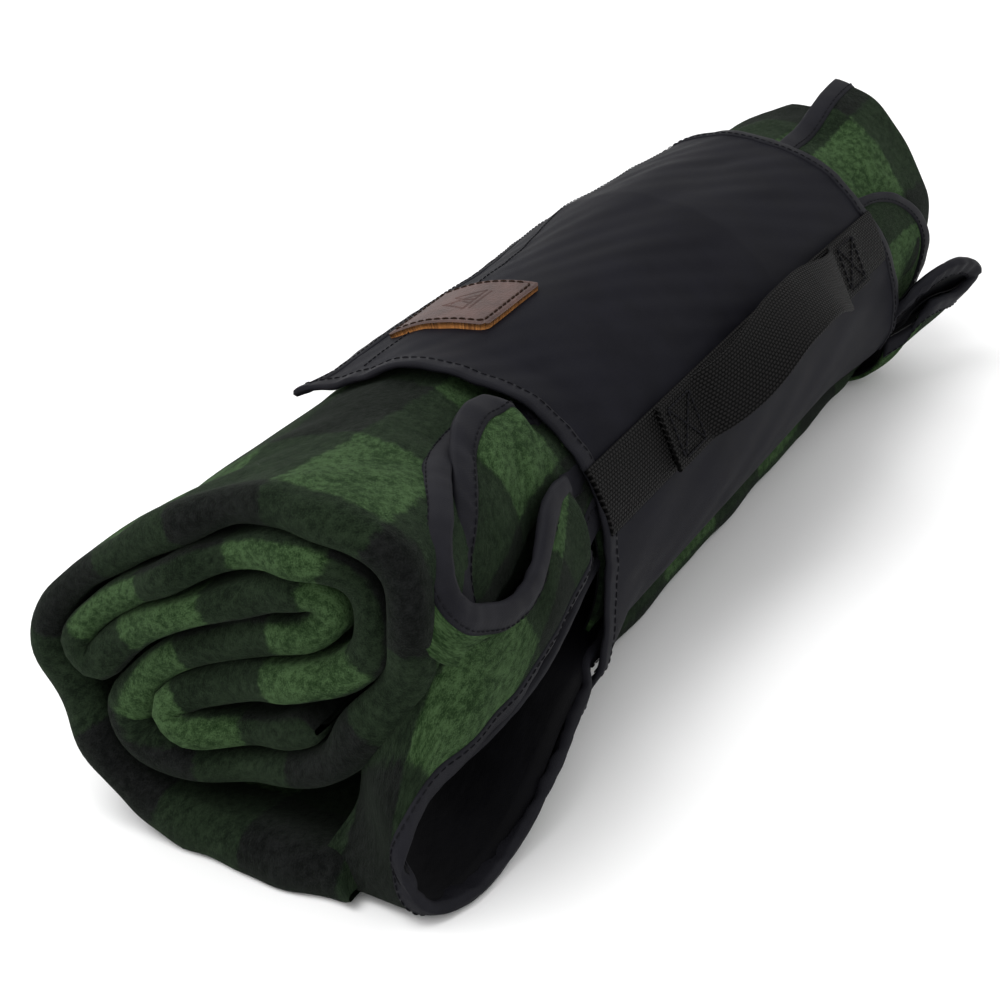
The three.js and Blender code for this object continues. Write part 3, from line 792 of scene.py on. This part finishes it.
CORNER_ARC = [
    (162, 42, 63.2), (180, 40, 64.0), (196, 37, 65.4), (211, 31, 67.2), (224, 22, 68.0), (233, 11, 67.8),
    (237, -1, 66.6), (235, -13, 65.0), (228, -24, 63.6), (216, -33, 62.8), (200, -40, 62.4), (180, -43, 62),
]
CORNER_ROOT = [
    (160, 34, 62.8), (164, 31, 63.0), (168, 28, 63.6), (170, 24, 64.0), (172, 19, 64.2), (174, 12, 64.0),
    (175, 4, 63.4), (176, -5, 62.8), (177, -13, 62.5), (176, -20, 62.4), (174, -27, 62.2), (170, -32, 62),
]
mixed, _ = ruled(rows_through(CORNER_ARC, 120), rows_through(CORNER_ROOT, 120), 34)
corner = facing(rumpled(around(*np.moveaxis(mixed, -1, 0)), 0.5, 20.0, 71), 60, 12, (0, -1, 0.3))
fleece("far_corner_fleece", corner, grid_uv(corner, (36.0, -3.0)), (0.15, 0.040), "loose_end_fleece")
bound("far_corner_tape", corner, 8.0)

FAR_EDGE = [
    (192, -57, 42), (196, -62, 47.8), (200, -64, 51.3), (204, -67, 54.6), (210, -70.5, 57.6),
    (218, -74, 59.2), (226, -76.5, 58.4), (237, -79, 54.4), (245.5, -80.4, 48.3), (246, -80.4, 43.8),
    (236, -79, 41.3), (226, -77, 40.8), (215, -74, 42.2), (207, -71, 41.8), (204, -66, 36.2),
    (203, -62, 29.2), (196, -54, 24),
]
FAR_ROOT = [
    (190, -50, 32), (196, -54, 33), (200, -56, 34), (204, -58, 35), (210, -61, 36), (217, -63, 37),
    (224, -64, 37), (231, -64, 35), (235, -60, 33), (235, -55, 29), (231, -50, 22), (224, -46, 14),
    (216, -43, 9), (209, -41, 5), (204, -40, 3), (200, -39, 2), (194, -38, 2),
]
FAR_ROWS = 130
FAR_LIPS = 67                     # the row where the far fold's upper lip turns into its lower one


def far_fold_grid(edge):
    grid, w = ruled(edge, rows_through(FAR_ROOT, FAR_ROWS), 30)
    bow = np.array([0.0, -4.0, -3.0]) * smooth(np.arange(FAR_ROWS), 60, 100)[:, None, None]
    grid = grid + 4 * w * (1 - w) * bow
    grid[..., 2] = np.maximum(grid[..., 2], 0.8)
    return facing(grid, 100, 8, (0, -0.3, -1))


def far_pocket_grid(edge):
    """The inside of the far fold."""
    upper = resampled(edge[: FAR_LIPS + 1], 40) + (0, 3, -1.5)
    lower = resampled(edge[: FAR_LIPS - 1 : -1], 40) + (0, 3, 1.5)
    back = (upper + lower) / 2 + (0, 9, -9)
    back[:, 0] = np.minimum(back[:, 0], 234)
    return pocket(upper, lower, back, 20)


edge = rows_through(FAR_EDGE, FAR_ROWS)
far_fold = far_fold_grid(edge)
far_uv = grid_uv(far_fold, (30.0, -2.0))
fleece("far_fold_fleece", far_fold, far_uv, (0.15, 0.026), "loose_end_fleece", "far_fold")
backing("far_fold_backing", behind(far_fold), (0.15, 0.026), "far_fold_fleece")
bound("far_fold_tape", far_fold, 8.0, "far_fold_binding")
backing("far_fold_inner_backing", far_pocket_grid(edge), (0.060, 0.030), "far_fold_fleece")


# ---- the near fold: the outer turn's open end, with the backing inside it ----

MOUTH_EDGE = [
    (-112, -52.5, 80), (-132, -54.5, 75.4), (-150, -57.4, 69.2), (-168, -58.8, 61), (-180, -58.8, 57),
    (-193, -58.4, 53.5), (-205, -57.6, 50.6), (-214, -56.8, 48.8), (-222, -55.8, 47), (-230, -54.3, 44.8),
    (-237, -52.7, 42.4), (-243, -51.6, 39.6), (-248, -50.6, 35.5), (-252, -49.8, 30), (-254, -49.6, 22.5),
    (-252, -51.5, 13.5), (-247, -55.5, 6.2), (-240, -60, 2.6), (-228, -62.8, 2.2), (-212, -64.2, 4),
    (-198, -66, 11.5), (-185, -66.4, 19), (-168, -64.5, 25.4), (-150, -62.5, 29.5), (-132, -59, 32),
    (-108, -52.5, 37),
]
MOUTH_ROOT = [
    (-112, -47, 103), (-128, -48.5, 104.5), (-143, -50.4, 104), (-160, -52.6, 104), (-172, -55.6, 99),
    (-180, -56.9, 92), (-190, -58.7, 88.5), (-202, -58.2, 88.5), (-213, -56.0, 92), (-220, -50, 98),
    (-227, -43, 100), (-231, -38, 94), (-234, -34, 82), (-237, -31, 66), (-239, -28, 50),
    (-240, -26, 33), (-243, -18, 17), (-245, -11, 5), (-238, -9, 1.5), (-220, -16, 1.5),
    (-198, -26, 2), (-185, -26, 2), (-168, -26, 2), (-150, -26, 2), (-132, -26, 2), (-112, -26, 2),
]
MOUTH_BULGE = [
    (0, -5, 0), (0, -5, 0), (0, -6, 0), (0, -6, 0), (0, -5, 0), (0, -4, 0), (0, -4, 0), (-1, -4, 0),
    (-2, -5, 0), (-3, -6, 0), (-4, -6, 0), (-4, -6, 0), (-4, -5, 0), (-4, -4, 0), (-4, -3, 0),
    (-4, -3, -1), (-4, -2, -3), (-3, -3, -2), (0, -3, -1), (0, -3, -2), (0, -4, -4), (0, -4, -7),
    (0, -4, -9), (0, -4, -9), (0, -4, -8), (0, -4, -8),
]


def near_fold_grid():
    edge, root, bulge = (rows_through(line, 210) for line in (MOUTH_EDGE, MOUTH_ROOT, MOUTH_BULGE))
    grid = rumpled(bent(edge, (edge + root) / 2 + 2 * bulge, root, 44), 0.6, 24.0, 41)
    grid[..., 2] = np.maximum(grid[..., 2], 0.7)
    return facing(tucked_in(grid), 60, 20, (0, -1, 0))


def tucked_in(grid):
    """Keeps a sheet's points under the cover where the cover reaches them."""
    rel = grid - np.array([0, AXIS_Y, AXIS_Z])
    radius = np.hypot(rel[..., 1], rel[..., 2])
    angle = np.degrees(np.arctan2(rel[..., 2], -rel[..., 1]))
    room = LOOSE_RADIUS + 0.4 + 7.0 * smooth(-angle, 4.0, 34.0)
    under = smooth(grid[..., 0], COVER_NEAR - 20, COVER_NEAR - 4)
    scale = 1 - under * np.maximum(radius - room, 0) / radius
    return np.concatenate([grid[..., :1], rel[..., 1:] * scale[..., None] + (AXIS_Y, AXIS_Z)], -1)


def mouth_uv(grid):
    """The cloth was folded aslant, so its check is turned by about a third of a right angle."""
    turn = math.radians(32.6)
    band_at = 181                 # a band's corner lies on the upper lip, this far from the cover's middle
    edge = lengths_along(grid[:, 0])
    x, _, z = grid[:, 0].T
    start = np.argmin(np.abs(x + band_at) + 1e3 * (z < 50))
    down = np.sign(z[0] - z[-1]) * (edge - edge[start])[:, None]
    inward = lengths_along(grid[grid.shape[0] // 2])[None, :]
    u = inward * math.cos(turn) + down * math.sin(turn) - 21.5
    v = down * math.cos(turn) - inward * math.sin(turn)
    pleated = np.where(v < 0, 2 * v, v)
    return np.stack([u, pleated], -1) * METRES


def pouch_grid():
    """The inside of the mouth: backing from its upper lip in under the roll and out to its lower lip."""
    edge = rows_through(MOUTH_EDGE, 105)
    upper = resampled(edge[:54], 50) + (0, 3.2, -1.0)
    lower = resampled(edge[:50:-1], 50) + (0, 3.2, 1.5)
    back = (upper + lower) / 2
    back[:, 1] = -22 - 12 * smooth(-back[:, 0], 215, 250)
    back[:, 0] = np.maximum(back[:, 0], -238)
    grid = pocket(upper, lower, back, 24)
    grid[..., 2] = np.maximum(grid[..., 2], 3.6)
    return tucked_in(grid)


mouth = near_fold_grid()
fleece("near_fold_fleece", mouth, mouth_uv(mouth), (0.33, 0.05), "blanket_fleece", "near_fold")
backing("near_fold_backing", behind(mouth), (0.33, 0.05), "near_fold_fleece")
bound("near_fold_tape", mouth, 9.5, "near_fold_binding")
backing("near_fold_inner_backing", pouch_grid(), (0.14, 0.078), "near_fold_fleece")

NESTED_EDGE = [
    (-112, -53, 66), (-132, -54.5, 62), (-150, -56, 56), (-168, -56.5, 49.5), (-185, -55.5, 45),
    (-202, -54, 42.5), (-216, -51.5, 40.5), (-228, -48, 38),
]
across = np.linspace(0, 14, 16)[:, None] * (0.0, 0.86, -0.5)
nested = tucked_in(rows_through(NESTED_EDGE, 80)[:, None] + across)
piece = shell("nested_ply_backing", nested, END_CLOTH, BACKING)
sheet(piece, "blanket", "backing", (0.12, 0.014), "near_fold_fleece")
bound("nested_ply_tape", nested, 6.5, tape=0.8)


# ---- the inner turn's bound edge, on the roll beside the cover ----

LOOP_EDGE = [
    (-150, 64, 66), (-170, 62, 68.5), (-186, 59, 73), (-199, 54.5, 76.5), (-210, 49.8, 78.5),
    (-221, 44.6, 78.5), (-227, 38, 77), (-223, 32.5, 75), (-213, 28.5, 73.5), (-203, 25.5, 73),
    (-192, 25, 73), (-182, 27.5, 73.5), (-173, 32.5, 74.5), (-165, 36.5, 74.8), (-152, 38.5, 72.5),
    (-138, 37.8, 69), (-124, 37, 65), (-108, 37, 62.0),
]
LOOP_CENTRE = (-172.0, 45.0)
LOOP_RADIUS = 70                  # about how far out the loop lies, to turn angles into lengths
LOOP_HEM = 17.0                   # width of the loop's cloth that lies outside its edge


def tucked(x, angle, radius):
    """A point of the roll that stays under the cover where the cover reaches it."""
    under = smooth(x, COVER_NEAR - 16, COVER_NEAR + 1)
    return around(x, angle, radius - under * np.maximum(radius - LOOSE_RADIUS - 0.4, 0))


def loop_grid():
    """A hem of cloth that runs outwards from the loop's edge and sinks into the turn under it."""
    x, angle, radius = rows_through(LOOP_EDGE, 150).T
    arc = np.radians(angle) * LOOP_RADIUS
    dx, da = unit(np.stack([np.gradient(x), np.gradient(arc)], -1)).T
    away = (x - LOOP_CENTRE[0]) * da - (arc - math.radians(LOOP_CENTRE[1]) * LOOP_RADIUS) * dx
    w = np.linspace(0, LOOP_HEM, 18)
    step = np.sign(np.median(away)) * w
    sink = 9.0 * smooth(w, 2.0, LOOP_HEM)
    angles = angle[:, None] - np.degrees(dx[:, None] * step / LOOP_RADIUS)
    return tucked(x[:, None] + da[:, None] * step, angles, radius[:, None] - sink)


loop = facing(loop_grid(), 75, 5, (0, -1, 0.4))
loop_uv = grid_uv(loop, (-10.0, -4.0), turn=True) * (1, 0.25)
fleece("loop_hem_fleece", loop, loop_uv, (0.26, 0.020), "blanket_fleece")
bound("loop_edge_tape", loop, 9.5, "inner_edge_binding")

INNER_EDGE = [
    (-106, 60, 61.8), (-120, 63.5, 65), (-130, 67, 69.5), (-150, 69.4, 72), (-165, 67.5, 73),
    (-180, 61.5, 73.4), (-193, 54, 73), (-203, 47, 71.5), (-212, 39.5, 69), (-217, 33, 66.5),
]
INNER_ROOT = [
    (-106, 34, 60.2), (-122, 34, 61), (-138, 34, 62.5), (-152, 33, 63), (-165, 31, 63.5), (-178, 28, 64),
    (-188, 25.5, 64.5), (-198, 24.5, 65), (-206, 25.5, 65.5), (-212, 28, 66),
]
INNER_BULGE = [3, 5, 6, 5.5, 4, 2.5, 1, -1, -1, 0]


def inner_grid():
    mixed, w = ruled(rows_through(INNER_EDGE, 120), rows_through(INNER_ROOT, 120), 40)
    bulge = rows_through(np.array(INNER_BULGE, float)[:, None], 120)
    x, angle, radius = np.moveaxis(mixed, -1, 0)
    return rumpled(tucked(x, angle, radius + bulge * 4 * (w * (1 - w))[..., 0]), 0.5, 18.0, 51)


inner = facing(inner_grid(), 60, 20, (0, -1, 1))
inner_uv = grid_uv(inner, (20.0, -1.0), turn=True)
fleece("inner_ply_fleece", inner, inner_uv, (0.12, 0.035), "blanket_fleece")
bound("inner_ply_tape", inner, 10.0)


# ---- the cover, which wraps round the roll from its seam to its hook-tape edge ----

COVER_SHEET = 1.0
NEAR_RIM_ANGLES = [-34, -17, 4, 26, 47, 63, 76, 89, 107, 133]
NEAR_RIM_SHIFT = [-6, -4, 0, 4, 5, 0, -5, -7, -11, -12]
FAR_RIM_ANGLES = [-34, 0, 24, 37, 66, 96, 133]
FAR_RIM_SHIFT = [30, 20, 9, 2, 1, 0, 1]
HOOK_ANGLES = (111, 130.5)
SEAM_TAPE_ANGLES = (-35.6, -43.5)
SEAM_TAPE_RADIUS = 64.4
RIM_TAPE = 7.0                    # width of the tape over the cover's rims and its free edge


def cover_wrinkles(x, angle):
    """Long shallow creases, most of them along the roll and a little aslant."""
    arc = np.radians(angle) * CLOTH_OUTER
    sample = np.stack([x * 0.33 + arc * 0.10, arc - x * 0.10, 0 * x], -1)
    broad = waves(sample, 34.0, 61)
    fine = waves(np.stack([x * 0.5, arc * 1.1 + x * 0.2, 0 * x], -1), 15.0, 62)
    return 0.40 * broad + 0.16 * fine


def corner_flare(x, angle):
    """The cover's lower corners go out over the near fold and the far fold."""
    near = 8.0 * smooth(-x, 84, 128) * smooth(-angle, -2, 34)
    return near + 5.0 * smooth(x, 120, 166) * smooth(-angle, -10, 30)


def toward_near(x):
    """0 up to some way short of the cover's near rim, and 1 at it."""
    return smooth(-x, -COVER_NEAR - 70, -COVER_NEAR)


def toward_far(x):
    return smooth(x, COVER_FAR - 70, COVER_FAR)


def cover_surface(x, angle, lift=0.0):
    """A point of the cover; x is where it would be with straight rims."""
    shifted = (x + toward_near(x) * np.interp(angle, NEAR_RIM_ANGLES, NEAR_RIM_SHIFT)
               + toward_far(x) * np.interp(angle, FAR_RIM_ANGLES, FAR_RIM_SHIFT))
    flat_strap = smooth(np.abs(angle - STRAP_ANGLE), 10.0, 18.0)
    flat_seam = smooth(angle, SEAM_ANGLE, SEAM_ANGLE + 12)
    top = smooth(angle, 45, 62) * (1 - smooth(angle, 96, 112))
    open_edge = smooth(angle, 118, FREE_ANGLE) * smooth(-x, 9, 60)
    radius = CLOTH_OUTER + lift + cover_wrinkles(x, angle) * flat_strap * flat_seam
    # the near rim stands out at the top, and the free edge along its near part
    radius = radius + 3.0 * top * smooth(-x, -COVER_NEAR - 26, -COVER_NEAR)
    radius = radius + open_edge * (2.5 + 2.0 * smooth(-x, -COVER_NEAR - 20, -COVER_NEAR))
    # towards its far end the cover's back is slack
    radius = radius + 2.5 * smooth(x, -20, 70) * smooth(angle, 84, 104)
    return around(shifted, angle, radius + corner_flare(x, angle))


def cover_grid(lift=0.0, x_range=None, angles=None, rows=240, cols=190):
    near, far = x_range or (COVER_NEAR, COVER_FAR)
    low, high = angles or (SEAM_ANGLE + 0.8, FREE_ANGLE)
    x = np.linspace(far, near, rows)[:, None]
    angle = np.linspace(high, low, cols)[None, :]
    further = 9.0 * smooth(x, -20, 60) * (smooth(angle, 100, FREE_ANGLE) if angles is None else 0)
    return cover_surface(x + 0 * angle, angle + further + 0 * x, lift)


def outward(points, x, angle):
    """Unit directions that point out of the roll at points of its surface."""
    return unit(points - around(x, angle, CLOTH_OUTER - 20))


cover = cover_grid()
piece = shell("cover_cloth", cover, COVER_SHEET, COVER)
sheet(piece, "cover", "cover_cloth", (0.30, 0.20), "loose_end_fleece", "cover_panel")
under = -COVER_SHEET - 0.3        # the layers on the cover's inside start here
lining = cover_grid(under, (COVER_NEAR + 6, COVER_FAR - 6), (SEAM_ANGLE + 3, 108), 120, 90)
piece = shell("cover_inner_lining", lining, 0.5, LINING)
sheet(piece, "cover", "lining", (0.29, 0.17), "cover_cloth", "cover_lining")
hooks = cover_grid(under, (COVER_NEAR + 10, COVER_FAR - 10), HOOK_ANGLES, 100, 18)
piece = shell("hook_tape_strip", hooks, 1.3, HOOKS)
sheet(piece, "cover", "hook", (0.27, 0.022), "cover_cloth", "hook_tape")

cover_fine = cover_grid(rows=420, cols=240)
across = cover_fine.transpose(1, 0, 2)
for name, grid, way, node in [
    ("far_rim_tape", across, -1, "far_rim_binding"),
    ("near_rim_tape", across[:, ::-1], 1, "near_rim_binding"),
    ("free_edge_tape", cover_fine, 1, "free_edge_binding"),
]:
    tape = taped_edge(name, grid, COVER_SHEET, width=RIM_TAPE, outward=way, tape=0.8)
    place(tape, "cover", "binding", node)

x = np.linspace(COVER_FAR - 12, COVER_NEAR + 12, 300)
angle = 116.0 + 9.0 * smooth(x, -20, 60)
line = cover_surface(x, angle, 0.1)
place(stitches("hook_tape_stitches", line, outward(line, x, angle), THREAD), "cover", "thread")

x = np.linspace(COVER_FAR, COVER_NEAR, 160)[:, None]
angle = np.linspace(*SEAM_TAPE_ANGLES, 14)[None, :]
radius = SEAM_TAPE_RADIUS - 1.2 * smooth(-angle, 34.6, 43.0) + 0.75 * corner_flare(x, SEAM_ANGLE)
seam = around(x + 9 * toward_far(x) - 4 * toward_near(x), angle, radius)
piece = shell("seam_tape_strip", seam, 1.2, BINDING)
sheet(piece, "blanket", "binding", (0.29, 0.011), "blanket_fleece", "seam_tape")
for row, name in (3, "seam_stitches_upper"), (10, "seam_stitches_lower"):
    up = normals_of(seam)[:, row]
    place(stitches(name, seam[:, row] + up * 0.1, up, THREAD), "blanket", "thread")


# ---- the carry handle and the strap under it ----

STRAP_LIFT = 1.8
WEBBING_THICKNESS = 1.8
STRAP_HALF_ANGLE = math.degrees(WEBBING / 2 / (CLOTH_OUTER + STRAP_LIFT))
STRAP_TILT = math.radians(STRAP_ANGLE)


def strap():
    """It follows the round of the cover across its width."""
    x = np.linspace(COVER_FAR + 1, COVER_NEAR - 1, 240)[:, None]
    width = np.linspace(1, -1, 15)
    angle = STRAP_ANGLE + STRAP_HALF_ANGLE * width
    edge = -0.35 * smooth(np.abs(width), 0.93, 1.0)
    radius = CLOTH_OUTER + STRAP_LIFT + edge + corner_flare(x, angle)
    return around(x + 4 * toward_near(x) + 2 * toward_far(x), angle, radius)


piece = shell("strap_webbing", strap(), 1.7, STRAP)
sheet(piece, "cover", "webbing", (0.29, 0.025), "cover_cloth", "base_webbing")

HANDLE_MIDDLE = 36.0
HANDLE_RISE = 17.6
HANDLE_LEAN = 30.0
SEWN_NEAR = (-70.0, -41.0)        # from and to where the handle's ends lie sewn on the strap
SEWN_FAR = (113.0, 142.0)


def on_strap(x, gap):
    """The middle of a face that lies on the strap, with a small gap."""
    return around(x, STRAP_ANGLE, CLOTH_OUTER + STRAP_LIFT + WEBBING_THICKNESS + gap)


def tilted(angle):
    """Directions out of the roll and up across its surface, at an angle in radians."""
    y, z = np.sin(angle), np.cos(angle)
    return np.stack([0 * y, -z, y], -1), np.stack([0 * y, y, z], -1)


def handle_line(x):
    """Middle of the webbing's outer face, its direction across and its outward direction."""
    left, right = SEWN_NEAR[1], SEWN_FAR[0]
    inward = np.clip(np.minimum(x - left, right - x) / (HANDLE_MIDDLE - left), 0, 1)
    height = HANDLE_RISE * np.sin(np.pi / 2 * inward ** 0.9) * smooth(inward, -0.05, 0.12)
    out, across = tilted(np.radians(STRAP_ANGLE + HANDLE_LEAN * smooth(inward, 0.0, 0.85)))
    return on_strap(x, 0.1) + out * height[:, None], across, out


def ribbon(name, middle, across, out):
    """Webbing along a line, with a rounded selvedge and a slight crown on its outer face."""
    share = np.array([-0.5, -0.494, -0.47, -0.3, -0.1, 0.1, 0.3, 0.47, 0.494, 0.5])
    height = np.array([0.5, 0.8, 0.97, 1.03, 1.05, 1.05, 1.03, 0.97, 0.8, 0.5])
    s = np.r_[share, share[::-1]] * WEBBING
    h = (np.r_[height, 1 - height[::-1]] - 1.0) * WEBBING_THICKNESS
    rings = middle[:, None] + across[:, None] * s[:, None] + out[:, None] * h[:, None]
    uv = uv_mesh(lengths_along(middle), lengths_along(np.stack([s, h], -1)))
    return tube(name, rings, STRAP, uv)


def half_handle(name, outer_end, node):
    middle, across, out = handle_line(np.linspace(outer_end, HANDLE_MIDDLE, 130))
    face = np.cross(unit(np.gradient(middle, axis=0)), across)
    face *= np.sign((face * out).sum(-1, keepdims=True))
    piece = ribbon(name, middle, across, face)
    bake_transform(piece)
    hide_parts(node, "handle_loop")


half_handle("handle_near_half", SEWN_NEAR[0], "handle_near_end")
half_handle("handle_far_half", SEWN_FAR[1], "handle_far_end")


def box_stitch(name, x_middle, node):
    """A square with its diagonals, sewn through the handle's end and the strap."""
    square = [(-1, -1), (1, -1), (1, 1), (-1, 1), (-1, -1)]
    half, steps = 9.5, 24
    out, across = tilted(STRAP_TILT)
    parts = []
    for number, run in enumerate([square, [(-1, -1), (1, 1)], [(-1, 1), (1, -1)]]):
        share = np.arange(steps * (len(run) - 1) + 1) / steps
        line = taken_at(share, np.arange(len(run)), half * np.array(run))
        on_face = on_strap(x_middle + line[:, 0], 0.25) + across * line[:, 1:]
        parts.append(stitches(name + str(number), on_face, out + 0 * on_face, THREAD, radius=0.4))
    place(join_into(name, parts), "cover", "thread", node)


box_stitch("near_end_stitches", -55.5, "near_box_stitch")
box_stitch("far_end_stitches", 127.5, "far_box_stitch")


# ---- the leather patch on the cover's near end ----

PATCH_CORNER = 3.5
PATCH_THICKNESS = 2.2
PATCH_X, PATCH_ANGLE = -69.0, 106.5
PATCH_HALF = np.array([22.0, 21.0])
PATCH_SEAM = 2.6                  # how far inside the patch's border its stitches run


def on_patch(u, v):
    """Where a point of the patch lies on the roll, and the cover's crease under it."""
    x, angle = PATCH_X + u, PATCH_ANGLE - np.degrees(v / (CLOTH_OUTER + 1.5))
    return x, angle, 0.35 * cover_wrinkles(x, angle)


def motif_depth(u, v):
    """How deep the embossed drawing is at a point of the patch, from 0 to 1: a tent between two peaks."""
    def line(ax, ay, bx, by, half=0.45):
        length = (bx - ax) ** 2 + (by - ay) ** 2
        t = np.clip(((u - ax) * (bx - ax) + (v - ay) * (by - ay)) / length, 0, 1)
        gap = np.hypot(u - ax - t * (bx - ax), v - ay - t * (by - ay))
        return 1 - smooth(gap, half, half + 0.45)

    drawn = [
        line(-14, -8, -4.5, 9), line(-4.5, 9, 1, -0.5), line(2, 1, 6.5, 7), line(6.5, 7, 14, -8),
        line(-6, -8, 0.5, 2.0), line(0.5, 2.0, 7, -8), line(-15, -8, 15, -8), line(0.5, 2.0, 0.5, -8),
        line(-13, -11.5, 13, -11.5), line(-7, 4.6, -4.5, 2.6), line(-4.5, 2.6, -2.3, 4.8),
    ]
    return np.max(drawn, axis=0)


def patch():
    side = np.linspace(-1, 1, 150)
    uv = np.stack(np.meshgrid(side, side, indexing="ij"), -1) * PATCH_HALF
    # rows and columns pull in at the corners, which rounds them
    past = np.maximum(np.abs(uv) - (PATCH_HALF - PATCH_CORNER), 0)
    reach = np.hypot(past[..., 0], past[..., 1])
    scale = np.where(reach > 0, past.max(-1) / np.maximum(reach, 1e-9), 1)
    uv = np.sign(uv) * (np.abs(uv) - past + past * scale[..., None])
    u, v = np.moveaxis(uv, -1, 0)
    x, angle, crease = on_patch(u, v)
    border = (PATCH_HALF - np.abs(uv)).min(-1)
    rounded = -0.5 * (1 - smooth(border, 0.0, 1.3))
    groove = -0.30 * np.exp(-((border - PATCH_SEAM) / 0.55) ** 2)
    height = PATCH_THICKNESS + 0.35 + crease + rounded + groove - 0.4 * motif_depth(1.5 * u, -1.5 * v)
    top, bottom = around(x, angle, CLOTH_OUTER + height), around(x, angle, CLOTH_OUTER - 0.4)
    piece = between("leather_label", top, bottom, uv * METRES, [LEATHER, RAW_EDGE], 1, way=-1)
    place(piece, "cover", "leather", "leather_patch")


def label_stitches():
    half = PATCH_HALF - PATCH_SEAM
    r = PATCH_CORNER - 1.0
    turns = np.radians([np.linspace(start, start + 90, 8) for start in (0, 90, 180, 270)])
    centres = np.array([(1, 1), (-1, 1), (-1, -1), (1, -1)]) * (half - r)
    corners = centres[:, None] + r * np.stack([np.cos(turns), np.sin(turns)], -1)
    outline = np.concatenate([corners.reshape(-1, 2), corners[0, :1]])
    x, angle, crease = on_patch(*resampled(outline, 220).T)
    line = around(x, angle, CLOTH_OUTER + PATCH_THICKNESS + 0.25 + crease)
    up = outward(line, x, angle)
    piece = stitches("label_stitches", line, up, LEATHER_THREAD, length=2.6, pitch=3.4, radius=0.35)
    place(piece, "cover", "leather_thread", "patch_stitching")


patch()
label_stitches()


# ---- stage, light and camera ----

def studio():
    bpy.ops.mesh.primitive_plane_add(size=12, location=(0, 0, 0))
    floor = bpy.context.object
    floor.name = "floor"
    n = Nodes("pale_floor", 0.9, 0.2)
    floor.data.materials.append(n.finish((0.9, 0.9, 0.9, 1)))
    world = bpy.data.worlds.new("studio")
    bpy.context.scene.world = world
    world.use_nodes = True
    world.node_tree.nodes["Background"].inputs[0].default_value = (1, 1, 1, 1)
    world.node_tree.nodes["Background"].inputs[1].default_value = 1.0
    bpy.context.scene.view_settings.view_transform = "Standard"
    lamps = [
        ("key", (-0.7, 0.6, 1.9), 1.2, 24.0),
        ("fill", (-1.9, -0.3, 1.1), 1.6, 4.0),
        ("back", (1.2, 1.3, 1.6), 1.6, 7.0),
    ]
    for name, place_at, size, power in lamps:
        lamp = bpy.data.lights.new(name, "AREA")
        lamp.size = size
        lamp.energy = power
        holder = bpy.data.objects.new(name, lamp)
        holder.location = place_at
        holder.rotation_mode = "QUATERNION"
        holder.rotation_quaternion = Vector(place_at).to_track_quat("Z", "Y")
        bpy.context.scene.collection.objects.link(holder)


CAMERA_AT = (-746.4, -328.0, 436.5)
CAMERA_RIGHT = (0.44683, -0.89462, 0.0)
CAMERA_UP = (0.40700, 0.20328, 0.89052)
CAMERA_LENS = 82.8


def camera():
    data = bpy.data.cameras.new("camera")
    data.lens = CAMERA_LENS
    data.clip_start = 0.01
    holder = bpy.data.objects.new("camera", data)
    right, up = Vector(CAMERA_RIGHT), Vector(CAMERA_UP)
    turn = Matrix((right, up, right.cross(up))).transposed().to_4x4()
    holder.matrix_world = Matrix.Translation(Vector(CAMERA_AT) * METRES) @ turn
    bpy.context.scene.collection.objects.link(holder)
    bpy.context.scene.camera = holder


studio()
camera()
